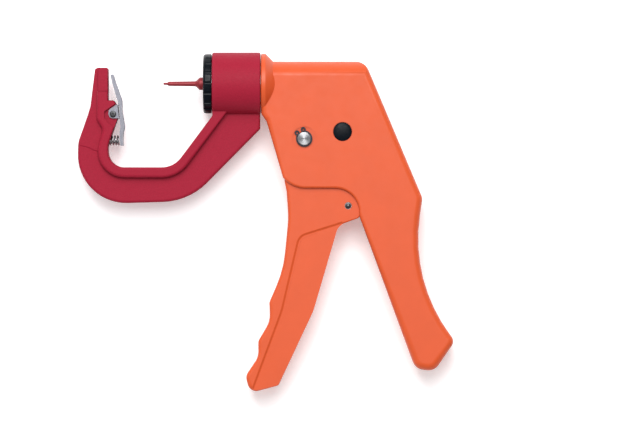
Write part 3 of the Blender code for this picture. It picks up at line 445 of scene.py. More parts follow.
def shaped(obj, *steps):
    """Runs Boolean steps on an object, each an operation with its other object, and returns it as a plain mesh."""
    others = []
    for operation, other in steps:
        for part in other if isinstance(other, list) else [other]:
            bpy.context.scene.collection.objects.link(part)
            step = obj.modifiers.new(part.name, "BOOLEAN")
            step.operation = operation
            step.solver = "EXACT"
            step.object = part
            others.append(part)
    plain(obj)
    for part in others:
        data = part.data
        bpy.data.objects.remove(part)
        bpy.data.meshes.remove(data)
    return obj


def plain(obj):
    """Turns an object and its modifiers into a plain mesh."""
    linked = obj.name in bpy.context.scene.collection.objects
    if not linked:
        bpy.context.scene.collection.objects.link(obj)
    graph = bpy.context.evaluated_depsgraph_get()
    data = bpy.data.meshes.new_from_object(obj.evaluated_get(graph))
    obj.modifiers.clear()
    obj.data = data
    if not linked:
        bpy.context.scene.collection.objects.unlink(obj)
    return obj


def finished(name, obj, body, nodes, surface, angle=32.0):
    """Makes an object a finished piece that rides on a body and stands for its nodes. Large faces stay flat in
    the light, and the roundings beside them take up the turn."""
    if obj.name not in bpy.context.scene.collection.objects:
        bpy.context.scene.collection.objects.link(obj)
    obj.data.materials.clear()
    obj.data.materials.append(surface)
    for face in obj.data.polygons:
        face.use_smooth = True
        face.material_index = 0
    obj.data.set_sharp_from_angle(angle=math.radians(angle))
    step = obj.modifiers.new("flat_faces", "WEIGHTED_NORMAL")
    step.keep_sharp = True
    plain(obj)
    obj.name = obj.data.name = name
    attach(obj, body)
    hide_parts(*nodes)
    return obj


# Node trees


class Tree:
    """A Geometry Nodes tree that is built line by line. Each of its inputs is given as its kind and its name, and
    every tree has one for the material too."""

    def __init__(self, name, *inputs):
        self.tree = bpy.data.node_groups.new(name, "GeometryNodeTree")
        self.tree.is_modifier = True
        new_socket = self.tree.interface.new_socket
        new_socket("Geometry", in_out="INPUT", socket_type="NodeSocketGeometry")
        self.idents = {}
        for entry in (*inputs, "Material Material"):
            kind, label = entry.split(" ", 1)
            self.idents[label] = new_socket(label, in_out="INPUT", socket_type="NodeSocket" + kind).identifier
        new_socket("Geometry", in_out="OUTPUT", socket_type="NodeSocketGeometry")
        self.given = self.tree.nodes.new("NodeGroupInput")

    def node(self, kind, settings=None, **links):
        """Adds a node. A link's name is the socket's name with spaces as underscores, and its value a number, a
        vector, an output socket or the name of one of the tree's inputs."""
        made = self.tree.nodes.new(kind)
        for label, value in (settings or {}).items():
            setattr(made, label, value)
        for label, value in links.items():
            self.set(made, label.replace("_", " "), value)
        return made.outputs[0]

    def set(self, made, label, value):
        if label.isdigit():
            socket = made.inputs[int(label)]
        else:
            socket = next(s for s in made.inputs if s.name == label and s.enabled)
        if isinstance(value, str):
            value = self.given.outputs[value]
        if isinstance(value, bpy.types.NodeSocket):
            self.tree.links.new(value, socket)
        else:
            socket.default_value = value

    def math(self, operation, first, second=0.0):
        made = self.tree.nodes.new("ShaderNodeMath")
        made.operation = operation
        self.set(made, "0", first)
        self.set(made, "1", second)
        return made.outputs[0]

    def times(self, first, second):
        return self.math("MULTIPLY", first, second)

    def vector(self, x=0.0, y=0.0, z=0.0):
        return self.node("ShaderNodeCombineXYZ", X=x, Y=y, Z=z)

    def moved(self, geometry, **links):
        return self.node("GeometryNodeTransform", Geometry=geometry, **links)

    def cylinder(self, vertices, radius, depth):
        kind = "GeometryNodeMeshCylinder"
        return self.node(kind, {"fill_type": "NGON"}, Vertices=vertices, Radius=radius, Depth=depth)

    def boolean(self, operation, parts, base=None):
        """Joins the parts, or cuts them out of a base."""
        made = self.tree.nodes.new("GeometryNodeMeshBoolean")
        made.operation = operation
        made.solver = "EXACT"
        if base is not None:
            self.tree.links.new(base, made.inputs["Mesh 1"])
        for part in parts:
            self.tree.links.new(part, made.inputs["Mesh 2"])
        return made.outputs[0]

    def end(self, geometry):
        """Ends the tree in Realize Instances and Set Material."""
        real = self.node("GeometryNodeRealizeInstances", Geometry=geometry)
        dressed = self.node("GeometryNodeSetMaterial", Geometry=real, Material="Material")
        out = self.tree.nodes.new("NodeGroupOutput")
        self.tree.links.new(dressed, out.inputs["Geometry"])
        return self

    def grow(self, obj, **values):
        """Runs the tree on an object and leaves a plain mesh."""
        step = obj.modifiers.new("nodes", "NODES")
        step.node_group = self.tree
        for label, value in values.items():
            step[self.idents[label.replace("_", " ")]] = value
        return plain(obj)


def fluted_tree():
    """Cuts straight grooves round a ring that lies along the world's X."""
    grooved = ("Float Ring Radius", "Float Groove Radius", "Float Groove Length")
    t = Tree("fluted_ring", "Int Count", *grooved, "Vector Centre", "Float Turn")
    circle = t.node("GeometryNodeMeshCircle", Vertices="Count", Radius="Ring Radius")
    circle = t.moved(circle, Rotation=t.vector("Turn", math.pi / 2, 0.0), Translation="Centre")
    groove = t.moved(t.cylinder(20, "Groove Radius", "Groove Length"), Rotation=(0.0, math.pi / 2, 0.0))
    grooves = t.node("GeometryNodeInstanceOnPoints", Points=circle, Instance=groove)
    grooves = t.node("GeometryNodeRealizeInstances", Geometry=grooves)
    return t.end(t.boolean("DIFFERENCE", [grooves], t.given.outputs["Geometry"]))


def screw_tree():
    """A pan-head screw with a cross recess at each point, its head towards the world's minus Z."""
    head_and_shank = ("Float Head Radius", "Float Head Height", "Float Shank Radius", "Float Shank Length")
    t = Tree("housing_screws", *head_and_shank, "Float Recess Length", "Float Recess Width")
    head = t.node(
        "GeometryNodeMeshCone",
        {"fill_type": "NGON"},
        Vertices=40,
        Radius_Top="Head Radius",
        Radius_Bottom=t.times("Head Radius", 0.78),
        Depth=t.times("Head Height", 0.35),
    )
    rim = t.cylinder(40, "Head Radius", t.times("Head Height", 0.66))
    rim = t.moved(rim, Translation=t.vector(z=t.times("Head Height", 0.67)))
    middle = t.math("ADD", t.times("Shank Length", 0.5), t.times("Head Height", 0.9))
    shank = t.moved(t.cylinder(24, "Shank Radius", "Shank Length"), Translation=t.vector(z=middle))
    deep = t.times("Head Height", 1.2)
    arms = [
        t.node("GeometryNodeMeshCube", Size=t.vector(*size, deep))
        for size in (("Recess Length", "Recess Width"), ("Recess Width", "Recess Length"))
    ]
    screw = t.boolean("DIFFERENCE", arms, t.boolean("UNION", [head, rim, shank]))
    return t.end(t.node("GeometryNodeInstanceOnPoints", Points="Geometry", Instance=screw))


def spring_tree():
    """A compression spring along the world's X, whose end turns lie close together."""
    wound = ("Float Turns", "Float Dead Turns", "Float Wire Radius", "Float Coil Radius", "Float Length")
    t = Tree("compression_spring", *wound, "Vector Start", "Int Steps")
    points = t.node("GeometryNodeResampleCurve", Curve=t.node("GeometryNodeCurvePrimitiveLine"), Count="Steps")
    turn = t.times(t.node("GeometryNodeSplineParameter"), "Turns")
    ends = t.times(t.times("Wire Radius", 2.15), "Dead Turns")
    free = t.math("SUBTRACT", t.math("SUBTRACT", "Length", t.times("Wire Radius", 2.0)), t.times(ends, 2.0))
    last = t.math("SUBTRACT", "Turns", "Dead Turns")
    along = "Wire Radius"
    for low, high, reach in ((0.0, "Dead Turns", ends), ("Dead Turns", last, free), (last, "Turns", ends)):
        share = t.node("ShaderNodeMapRange", Value=turn, From_Min=low, From_Max=high, To_Max=reach)
        along = t.math("ADD", along, share)
    angle = t.times(turn, 2 * math.pi)
    round_axis = [t.times("Coil Radius", t.math(wave, angle)) for wave in ("COSINE", "SINE")]
    line = t.node("GeometryNodeSetPosition", Geometry=points, Position=t.vector(along, *round_axis))
    section = t.node("GeometryNodeCurvePrimitiveCircle", Resolution=14, Radius="Wire Radius")
    tube = t.node("GeometryNodeCurveToMesh", Curve=line, Profile_Curve=section, Fill_Caps=True)
    return t.end(t.moved(tube, Translation="Start"))


# Finishes


class Finish:
    """A material whose nodes read Object coordinates."""

    def __init__(self, name, colour, metallic, roughness, **constants):
        self.material = bpy.data.materials.new(name)
        self.material.use_nodes = True
        self.material.diffuse_color = (*colour, 1)
        self.nodes = self.material.node_tree.nodes
        self.links = self.material.node_tree.links
        self.shader = self.nodes["Principled BSDF"]
        self.shader.inputs["Metallic"].default_value = metallic
        self.colour = colour
        self.roughness = roughness
        for label, value in constants.items():
            self.shader.inputs[label.replace("_", " ")].default_value = value
        self.spot = self.nodes.new("ShaderNodeTexCoord").outputs["Object"]
        self.height = None

    def node(self, kind, **links):
        """Adds a node. A link's name is the socket's name with spaces as underscores, and its value a number, a
        vector or an output socket."""
        made = self.nodes.new(kind)
        for label, value in links.items():
            socket = made.inputs[label.replace("_", " ")]
            if isinstance(value, bpy.types.NodeSocket):
                self.links.new(value, socket)
            else:
                socket.default_value = value
        return made

    def noise(self, size, detail=3.0, rough=0.55, stretch=None):
        """Noise whose lumps are about as large as size, in metres."""
        source = self.spot
        if stretch:
            source = self.node("ShaderNodeMapping", Vector=source, Scale=stretch).outputs["Vector"]
        made = self.node("ShaderNodeTexNoise", Vector=source, Scale=1 / size, Detail=detail, Roughness=rough)
        return made.outputs["Fac"]

    def tint(self, value, spread, low=0.35, high=0.65):
        """Varies the colour to both sides of its own by a share."""
        made = self.node("ShaderNodeValToRGB", Fac=value)
        for element, position, share in zip(made.color_ramp.elements, (low, high), (1 - spread, 1 + spread)):
            element.position = position
            element.color = (*[min(1.0, c * share) for c in self.colour], 1)
        self.links.new(made.outputs["Color"], self.shader.inputs["Base Color"])

    def sheen_by(self, value, spread, low=0.35, high=0.65):
        """Varies the roughness to both sides of its own."""
        ends = {"To_Min": self.roughness - spread, "To_Max": self.roughness + spread}
        made = self.node("ShaderNodeMapRange", Value=value, From_Min=low, From_Max=high, **ends)
        self.links.new(made.outputs["Result"], self.shader.inputs["Roughness"])

    def bump(self, value, depth):
        """Adds relief on top of the relief that is there."""
        below = {} if self.height is None else {"Normal": self.height}
        self.height = self.node("ShaderNodeBump", Distance=depth, Height=value, **below).outputs["Normal"]
        self.links.new(self.height, self.shader.inputs["Normal"])


def moulded(name, colour):
    """Moulded plastic with a fine satin texture."""
    f = Finish(name, colour, 0.0, 0.42, IOR=1.49, Specular_IOR_Level=0.35)
    f.tint(f.noise(14 * MM, 4.0), 0.02)
    f.sheen_by(f.noise(5 * MM), 0.05)
    f.bump(f.noise(0.9 * MM, 2.0), 0.02 * MM)
    f.bump(f.noise(0.28 * MM, 2.0, 0.6), 0.014 * MM)
    return f.material


def coated(name, colour):
    """Powder coat over a casting: fine grit, with slow waves of the cast surface below."""
    f = Finish(name, colour, 0.0, 0.55, IOR=1.5, Specular_IOR_Level=0.1)
    f.tint(f.noise(0.7 * MM, 5.0, 0.7), 0.13, 0.3, 0.7)
    f.sheen_by(f.noise(0.8 * MM), 0.08)
    f.bump(f.noise(4 * MM, 2.0), 0.08 * MM)
    f.bump(f.noise(0.55 * MM, 3.0, 0.65), 0.06 * MM)
    return f.material


def black_moulded(name, colour, roughness=0.3):
    """Black nylon with a slight sheen."""
    f = Finish(name, colour, 0.0, roughness, IOR=1.53, Specular_IOR_Level=0.11)
    f.tint(f.noise(1.5 * MM, 4.0), 0.25)
    f.sheen_by(f.noise(2.2 * MM), 0.07)
    f.bump(f.noise(0.3 * MM, 2.0), 0.012 * MM)
    return f.material


def metal(name, colour, roughness, drawn=None, grain=0.006, spread=0.06, **constants):
    """Metal with fine marks, drawn out along one direction where it is given."""
    f = Finish(name, colour, 1.0, roughness, **constants)
    f.tint(f.noise(3 * MM, 4.0), 0.05)
    f.sheen_by(f.noise(1.4 * MM, 4.0, stretch=drawn), spread)
    f.bump(f.noise(0.35 * MM, 3.0, stretch=drawn), grain * MM)
    return f.material


def dress_node(name, surface):
    """Gives a carried-over part its finish."""
    data = frame["nodes"][name].data
    if not data.materials:
        data.materials.append(surface)
    for n in range(len(data.materials)):
        data.materials[n] = surface


# Pieces


def crown(name):
    """The room under the housing's top: flat sides that turn into an arc about the plunger axis."""
    fillet, radius, wall = 6.0, TOP - 0.02, WALL_OUT + 0.03
    across = wall - fillet
    up = math.sqrt((radius - fillet) ** 2 - across**2)
    meet = math.atan2(across, up)
    half = [(-260.0, wall)]
    for k in range(7):
        turn = (math.pi / 2 - meet) * k / 6
        half.append((up + fillet * math.sin(turn), across + fillet * math.cos(turn)))
    for k in range(1, 8):
        turn = meet * (1 - k / 8)
        half.append((radius * math.cos(turn), radius * math.sin(turn)))
    outline = [*half, (radius, 0.0), *[(v, -w) for v, w in reversed(half)]]
    mesh = bmesh.new()
    ends = [[mesh.verts.new((along, v, w)) for v, w in outline] for along in (-30.0, 150.0)]
    for n in range(len(outline)):
        mesh.faces.new((ends[0][n - 1], ends[0][n], ends[1][n], ends[1][n - 1]))
    for end in ends:
        mesh.faces.new(end)
    return solid(name, mesh)


def housing_half(name, side, surface):
    """One moulded half: collar, walls, hollow, bosses and screw holes."""
    half = slab(name, HOUSING, *span(side, -1.0, WALL_OUT), side < 0, side > 0)
    collar = turned(name + "_collar", [(0, 9.9), (10.7, 9.9), (18.1, 2.9), (18.1, 0.7), (17.5, 0.1), (0, 0.1)])
    inner = slab(name + "_inner", CAVITY, -WALL_IN, WALL_IN, True, True)
    grip = slab(name + "_grip", GRIP_CAVITY, -9.4, 9.4, True, True)
    seat_profile = [(0, 10), (9, 10), (9, 5.9), (13.8, 5.9), (13.8, 1.3), (BORE_R, 1.3), (BORE_R, -2), (0, -2)]
    seat = turned(name + "_seat", seat_profile, 72, lead=1.3)
    lug = slab(name + "_lug", LUG, *span(side, -0.9, TAIL_HALF - 0.1))
    posts = [(SCREWS[n], SCREW_POST_R, *span(side, -0.8, BOSS_OUT)) for n in (0, 1, 3, 4, 5)]
    posts.append((AXLE, AXLE_POST_R, *span(side, CHEEK_IN - 0.1, BOSS_OUT)))
    pocket = rods(name + "_pocket", [(PIVOT, PIVOT_POCKET_R, *ends) for ends in both(TAIL_HALF, WALL_IN - 0.05)], 56)
    sunk = span(side, WALL_OUT - 0.5, THROUGH)
    seats = [(AXLE, CIRCLIP_SEAT_R, *sunk), (PLUG, PLUG_R + GAP, *sunk)]
    screw_span = (-4.0, 8.2) if side > 0 else (-THROUGH, 4.0)
    holes = [
        (PIVOT, PIVOT_PIN_R + GAP, -THROUGH, THROUGH),
        (AXLE, AXLE_R + GAP, -THROUGH, THROUGH),
        (PLUG, PLUG_HOLE_R, *span(side, WALL_IN - 2, THROUGH)),
        *[(spot, SCREW_HOLE_R, *screw_span) for spot in SCREWS],
    ]
    if side < 0:
        seats += [(spot, SCREW_SEAT_R, -THROUGH, -9.2) for spot in SCREWS]
    low, high = span(side, SEAM, -40)
    shaped(
        half,
        ("INTERSECT", crown(name + "_crown")),
        ("UNION", collar),
        ("DIFFERENCE", [inner, grip, seat]),
        ("UNION", [lug, rods(name + "_posts", posts, 36)]),
        ("DIFFERENCE", [pocket, rods(name + "_holes", holes, 44), rods(name + "_seats", seats, 60)]),
        ("DIFFERENCE", boxes(name + "_trim", ((-40, -200, low), (140, 60, high)))),
    )
    return finished(name + "_shell", half, "housing", [name], surface, 30.0)


class APPLICATOR_OT_housing(bpy.types.Operator):
    """Makes the two moulded halves of the housing"""

    bl_idname = "applicator.housing"
    bl_label = "Housing Halves"

    def execute(self, context):
        surface = moulded("satin_orange_housing", colours().housing)
        for side, word in SIDES:
            housing_half("housing_" + word, side, surface)
        return {"FINISHED"}


class APPLICATOR_OT_trigger(bpy.types.Operator):
    """Makes the trigger with its finger grooves and sunk panels, and its pivot pin"""

    bl_idname = "applicator.trigger"
    bl_label = "Trigger"

    def execute(self, context):
        rim_r = 42.2
        inner_r = 38.5
        top = [
            (*polar(9.3, -38), 0, 0.8), (*polar(9.3, -12), 4.0, 0.8), (*polar(9.6, 30), 4.0, 0.8),
            (*polar(12.0, 62), 4.0, 0.8), (*polar(inner_r, 76), 2.0, 0.8), (*polar(inner_r + 0.6, 88), 20.0, 0.8),
            (*polar(inner_r + 0.6, 102), 20.0, 0.8), (*polar(inner_r + 0.6, 116), 20.0, 0.8),
            (*polar(inner_r, 129), 2.0, 0.8), (*polar(rim_r, 134), 2.0, 0.8), (*polar(rim_r + 0.4, 147), 30.0, 0.8),
            (*polar(rim_r - 0.9, 158.2), 2.0, 1.2),
        ]
        outline = [*top, *TRIGGER_GRIP, (58.5, -80.9, 1.6, 0.8)]
        trigger = slab("trigger_body", outline, -CHEEK_OUT, CHEEK_OUT, True, True)
        slot = [
            (*polar(14.0, -75), 3.0, 0), (*polar(14.0, -20), 3.0, 0), (*polar(14.5, 40), 3.0, 0),
            (*polar(48.0, 72), 0, 0), (*polar(48.0, 104), 0, 0), (*polar(36.0, 106), 2.0, 0),
            (*polar(36.5, 128), 9.0, 0), (*polar(38.5, 146), 9.0, 0), (*polar(33.0, 163), 5.0, 0),
            (*polar(15.0, 185), 8.0, 0), (29.2, -93.4, 4.0, 0), (26.4, -98.4, 4.0, 0), (34.6, -106.0, 4.0, 0),
            (48.0, -104.0, 0, 0), (52.0, -92.0, 0, 0),
        ]
        slope = [
            (1, PANEL_OUT), (0.5, PANEL_OUT + 0.1), (0, (PANEL_OUT + CHEEK_OUT) / 2), (-0.5, CHEEK_OUT - 0.1),
            (-1, CHEEK_OUT + 0.02), (-1, 14),
        ]
        panels = bmesh.new()
        for side in (1, -1):
            slab_into(panels, rounded(PANEL), 0, 0, layers=[(inset, side * height, 0) for inset, height in slope])
        steps = [slab("panel_step", PANEL_STEP, *ends) for ends in both(PANEL_OUT - 0.15, PANEL_OUT + 0.1)]
        holes = [(PIVOT, PIVOT_PIN_R + GAP, -15, 15), (DOWEL, 1.8, -8, 8)]
        shaped(
            trigger,
            ("DIFFERENCE", slab("trigger_slot", slot, -CHEEK_IN, CHEEK_IN)),
            ("DIFFERENCE", [solid("trigger_panels", panels), *steps, rods("trigger_holes", holes)]),
        )
        finished("trigger_body", trigger, "trigger", ["trigger"], moulded("satin_orange_trigger", colours().housing))
        half = [(0, 9.35), (0.6, 9.3), (1.0, 9.15), (1.25, 8.85), (1.3, 8.4), (1.9, 8.3)]
        pin = turned("pivot_pin", mirrored(half), 48, PIVOT)
        surface = metal("dark_pin_steel", steel(0.16), 0.34)
        finished("pivot_pin", pin, "trigger", ["trigger_pivot_pin"], surface)
        return {"FINISHED"}


class APPLICATOR_OT_c_frame(bpy.types.Operator):
    """Makes the cast C-frame with its barrel, anvil and ear pockets"""

    bl_idname = "applicator.c_frame"
    bl_label = "C-Frame"

    def execute(self, context):
        web = slab("c_frame_body", WEB, 0.45 - WEB_HALF, WEB_HALF - 0.45, True, True)
        pad = slab("c_frame_pad", PAD, -WEB_HALF, WEB_HALF, True, True)
        band = slab("c_frame_band", [*WEB[8:], *RIM], -FRAME_HALF, FRAME_HALF, True, True)
        edge = [(BARREL_R - 0.9, BARREL_BACK), (BARREL_R - 0.3, -0.45), (BARREL_R, -1.0)]
        front = [(BARREL_R, -28.3), (BARREL_R - 0.3, -28.95), (BARREL_R - 0.9, -29.3), (0, -29.3)]
        barrel = turned("c_frame_barrel", [(0, BARREL_BACK), *edge, *front])
        bore = turned("c_frame_bore", [(0, 3), (BORE_R, 3), (BORE_R, -40), (0, -40)], 72, lead=1.1)
        pockets = bmesh.new()
        for low, high in both(EAR_IN - GAP, 12):
            slab_into(pockets, rounded(EAR_POCKET), low, high)
        hole = turned("anvil_hole", [(0, -80), (2.6, -80), (2.6, -110), (0, -110)], 48, lead=2.0)
        seat = turned("spring_seat", [(0, -84), (3.7, -84), (3.7, -91.9), (0, -91.9)], 48, lead=2.0, up=SPRING_UP)
        tip_steps = []
        for side in (1, -1):
            for floor, right in ((8.2, -85.0), (WEB_HALF + 0.05, -97.5)):
                low, high = span(side, floor, 12.0)
                tip_steps.append(boxes("tip_step", ((-103.0, -4.6, low), (right, 12.0, high))))
            low, high = span(side, 7.75, 12.0)
            tip_steps.append(boxes("tip_line", ((-99.4, -4.95, low), (-84.0, -4.45, high))))
        shaped(
            web,
            ("UNION", [pad, band, barrel]),
            ("DIFFERENCE", [bore, boxes("c_frame_keyway", ((-20.3, 8.0, -1.8), (5, 13.0, 1.8)))]),
            ("DIFFERENCE", [solid("ear_pockets", pockets), hole, seat]),
            ("DIFFERENCE", rods("clip_pivot_hole", [(CLIP_PIVOT, CLIP_PIN_R + GAP, -12, 12)])),
            ("DIFFERENCE", tip_steps),
        )
        finished("c_frame_body", web, "housing", ["c_frame"], coated("crimson_powder_coat", colours().frame))
        return {"FINISHED"}


class APPLICATOR_OT_lock_ring(bpy.types.Operator):
    """Makes the fluted lock ring"""

    bl_idname = "applicator.lock_ring"
    bl_label = "Lock Ring"

    def execute(self, context):
        profile = [
            (RING_R - 0.4, RING_BACK), (RING_R, RING_BACK - 0.4), (RING_R, RING_FRONT + 1.5),
            (RING_R - 0.12, RING_FRONT + 0.9), (RING_R - 0.5, RING_FRONT + 0.4), (RING_R - 1.0, RING_FRONT + 0.1),
            (RING_R - 1.6, RING_FRONT), (14.8, RING_FRONT), (14.5, RING_FRONT + 0.3), (14.5, RING_SEAT),
            (BORE_R, RING_SEAT), (BORE_R, RING_BACK),
        ]
        ring = turned("fluted_lock_ring", profile)
        entries = [((-36, 9.5, -3.7), (-28, 14.25, 3.7), 120 * n + 60) for n in range(3)]
        shaped(ring, ("DIFFERENCE", boxes("lock_ring_entries", *entries)))
        surface = black_moulded("black_lock_ring", colours().black)
        cutter = sizes().flute_radius
        fluted_tree().grow(
            ring,
            Count=sizes().flute_count,
            Ring_Radius=RING_R * MM + cutter * 0.5,
            Groove_Radius=cutter,
            Groove_Length=4.4 * MM,
            Centre=place(-31.4, 0),
            Turn=math.radians(3),
            Material=surface,
        )
        finished("fluted_lock_ring", ring, "lock_ring", ["lock_ring"], surface)
        return {"FINISHED"}


class APPLICATOR_OT_pin(bpy.types.Operator):
    """Makes the red pin that pierces the ear"""

    bl_idname = "applicator.pin"
    bl_label = "Applicator Pin"

    def execute(self, context):
        profile = [
            (0, -22.4), (2.2, -22.4), (2.6, -22.8), (2.6, -34.6), (3.5, -34.6), (3.8, -34.9), (3.8, -36.7),
            (3.6, -37.1), (3.2, -37.5), (1.9, -38.8), (1.65, -39.3), (1.55, -39.9), (1.32, -55.3), (1.2, -55.7),
            (0.8, -56.1), (0.72, -56.4), (0.7, -58.1), (0.6, -58.4), (0.35, -58.65), (0, -58.7),
        ]
        pin = turned("red_pin", profile, 64)
        f = Finish("red_pin_steel", colours().pin, 0.2, 0.42, IOR=1.5, Specular_IOR_Level=0.3)
        f.tint(f.noise(2.5 * MM, 4.0), 0.12)
        f.sheen_by(f.noise(1.0 * MM, stretch=(0.2, 1, 1)), 0.08)
        f.bump(f.noise(0.3 * MM), 0.01 * MM)
        finished("red_pin", pin, "plunger", ["applicator_pin"], f.material)
        return {"FINISHED"}


def strip(line, thick):
    """The outline of a bent strip: its middle line, smoothed, moved out to both sides by half the thickness at
    each of its points."""
    smooth, halves = [], []
    for n in range(len(line) - 1):
        p = [Vector(line[max(0, min(k, len(line) - 1))]) for k in range(n - 1, n + 3)]
        for k in range(4):
            t = k / 4
            bend = 2 * p[1] + (p[2] - p[0]) * t
            bend += (2 * p[0] - 5 * p[1] + 4 * p[2] - p[3]) * t**2
            bend += (3 * p[1] - 3 * p[2] + p[3] - p[0]) * t**3
            smooth.append(bend / 2)
            halves.append((thick[n] * (1 - t) + thick[n + 1] * t) / 2)
    smooth.append(Vector(line[-1]))
    halves.append(thick[-1] / 2)
    left, right = [], []
    for n, here in enumerate(smooth):
        along = (smooth[min(n + 1, len(smooth) - 1)] - smooth[max(n - 1, 0)]).normalized()
        across = Vector((along.y, -along.x)) * halves[n]
        left.append((*(here - across), 0))
        right.append((*(here + across), 0))
    return [*left, *reversed(right)]


class APPLICATOR_OT_tag_clip(bpy.types.Operator):
    """Makes the pressed tag clip and the pin it turns on"""

    bl_idname = "applicator.tag_clip"
    bl_label = "Tag Clip"

    def execute(self, context):
        strip_mesh = bmesh.new()
        slab_into(strip_mesh, strip(CLIP_LINE, [CLIP_THICK] * len(CLIP_LINE)), -CLIP_HALF, CLIP_HALF)
        clip = solid("pressed_tag_clip", strip_mesh)
        ears = bmesh.new()
        rims = []
        for low, high in both(EAR_IN, CLIP_HALF):
            slab_into(ears, rounded(CLIP_EAR), low, high)
            rim = bmesh.new()
            slab_into(rim, strip(CLIP_LINE, CLIP_RIM), low - 0.02, high + 0.02)
            rims.append(solid("clip_rim", rim))
        shaped(
            clip,
            ("UNION", [*rims, solid("clip_ears", ears)]),
            ("DIFFERENCE", boxes("clip_slot", ((-95, -5.5, -3.2), (-80, 12, 3.2)))),
            ("DIFFERENCE", rods("clip_eyes", [(CLIP_PIVOT, CLIP_PIN_R + GAP, -12, 12)])),
            ("DIFFERENCE", [slab("ear_bend", EAR_BEND, *ends) for ends in both(CLIP_HALF - 0.75, CLIP_HALF + 1)]),
            ("DIFFERENCE", [slab("ear_gap", EAR_GAP, *ends) for ends in both(6.4, 12.0)]),
        )
        surface = metal("pressed_clip_steel", (0.168, 0.168, 0.192), 0.36, (1, 0.15, 1), 0.004)
        finished("pressed_tag_clip", clip, "tag_clip", ["tag_clip"], surface)
        half = [(0, 8.35), (0.45, 8.35), (0.65, 8.75), (1.5, 8.78), (1.85, 8.65), (2.0, 8.4), (2.0, 8.1), (1.4, 8.1)]
        pin = turned("clip_pin", mirrored(half), 48, CLIP_PIVOT)
        surface = metal("dark_clip_pin_steel", steel(0.09), 0.36)
        finished("clip_pin", pin, "housing", ["clip_pivot_pin"], surface)
        return {"FINISHED"}


class APPLICATOR_OT_springs(bpy.types.Operator):
    """Winds the plunger's return spring and the tag clip's spring"""

    bl_idname = "applicator.springs"
    bl_label = "Springs"

    def execute(self, context):
        tree = spring_tree()
        s = sizes()
        # Start, end and height of the coil's axis, coil radius, wire, turns, close turns, share left when pressed
        return_sizes = (-25.7, 21.0, 0.0, 6.9, s.return_wire, s.return_turns, 0.75, 0.272)
        clip_sizes = (-91.6, -84.75, SPRING_UP, 2.75, s.clip_wire, s.clip_turns, 0.0, 0.62)
        for name, node, joint, (start, end, up, radius, wire, turns, dead, keep) in (
            ("return_spring", "plunger_return_spring", "plunger_stroke", return_sizes),
            ("clip_coil", "clip_spring", "clip_open", clip_sizes),
        ):
            surface = metal(name + "_steel", steel(0.75), 0.3)
            spring = bpy.data.objects.new(name, bpy.data.meshes.new(name))
            tree.grow(
                spring,
                Turns=turns,
                Dead_Turns=dead,
                Wire_Radius=wire,
                Coil_Radius=radius * MM,
                Length=(end - start) * MM,
                Start=place(start, up),
                Steps=round(turns * 32),
                Material=surface,
            )
            finished(name, spring, "housing", [node], surface, 60.0)
            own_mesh(spring)
        return {"FINISHED"}


class APPLICATOR_OT_screws(bpy.types.Operator):
    """Sets the six screws that hold the housing halves together"""

    bl_idname = "applicator.screws"
    bl_label = "Housing Screws"

    def execute(self, context):
        mesh = bmesh.new()
        for along, up in SCREWS:
            mesh.verts.new((along, up, SCREW_HEAD_SIDE))
        screws = solid("housing_screws", mesh)
        surface = metal("screw_steel", steel(0.8), 0.28)
        screw_tree().grow(
            screws,
            Head_Radius=sizes().screw_head,
            Head_Height=2.0 * MM,
            Shank_Radius=sizes().screw_shank,
            Shank_Length=17.0 * MM,
            Recess_Length=3.4 * MM,
            Recess_Width=0.8 * MM,
            Material=surface,
        )
        nodes = [f"housing_screw_{n + 1}" for n in range(len(SCREWS))]
        finished("housing_screws", screws, "housing", nodes, surface)
        return {"FINISHED"}


class APPLICATOR_OT_axle(bpy.types.Operator):
    """Makes the stop axle and its two circlips"""

    bl_idname = "applicator.axle"
    bl_label = "Stop Axle"

    def execute(self, context):
        half = [
            (0, 13.95), (0.35, 14.0), (3.5, 14.0), (3.85, 13.88), (4.0, 13.6), (4.0, 13.05), (3.5, 13.05),
            (3.5, 11.95), (4.0, 11.95),
        ]
        axle = turned("stop_axle_body", mirrored(half), 72, AXLE)
        faced = {"Anisotropic": 0.95, "Anisotropic_Rotation": 0.25}
        surface = metal("faced_axle_steel", steel(0.42), 0.32, grain=0.0, spread=0.02, **faced)
        nodes = surface.node_tree.nodes
        tangent = nodes.new("ShaderNodeTangent")
        tangent.direction_type = "RADIAL"
        tangent.axis = "Z"
        surface.node_tree.links.new(tangent.outputs[0], nodes["Principled BSDF"].inputs["Tangent"])
        finished("stop_axle_body", axle, "housing", ["stop_axle"], surface)
        black = metal("phosphated_circlip", (0.028, 0.029, 0.034), 0.4)
        ring = [polar(4.9, a, AXLE) for a in range(144, 457, 6)]
        ring += [polar(3.7, a, AXLE) for a in range(456, 143, -6)]
        lugs = [polar(5.5, turn, AXLE) for turn in (141, 96)]
        for side, word in SIDES:
            name = "stop_axle_circlip_" + word
            low, high = span(side, 12.1, 12.9)
            mesh = bmesh.new()
            slab_into(mesh, [(*spot, 0) for spot in ring], low, high)
            circlip = shaped(
                solid(name + "_ring", mesh),
                ("UNION", rods(name + "_lugs", [(spot, 1.5, low - 0.05, high + 0.05) for spot in lugs], 28)),
                ("DIFFERENCE", rods(name + "_eyes", [(spot, 0.6, low - 2, high + 2) for spot in lugs], 20)),
            )
            finished(name + "_ring", circlip, "housing", [name], black)
        return {"FINISHED"}


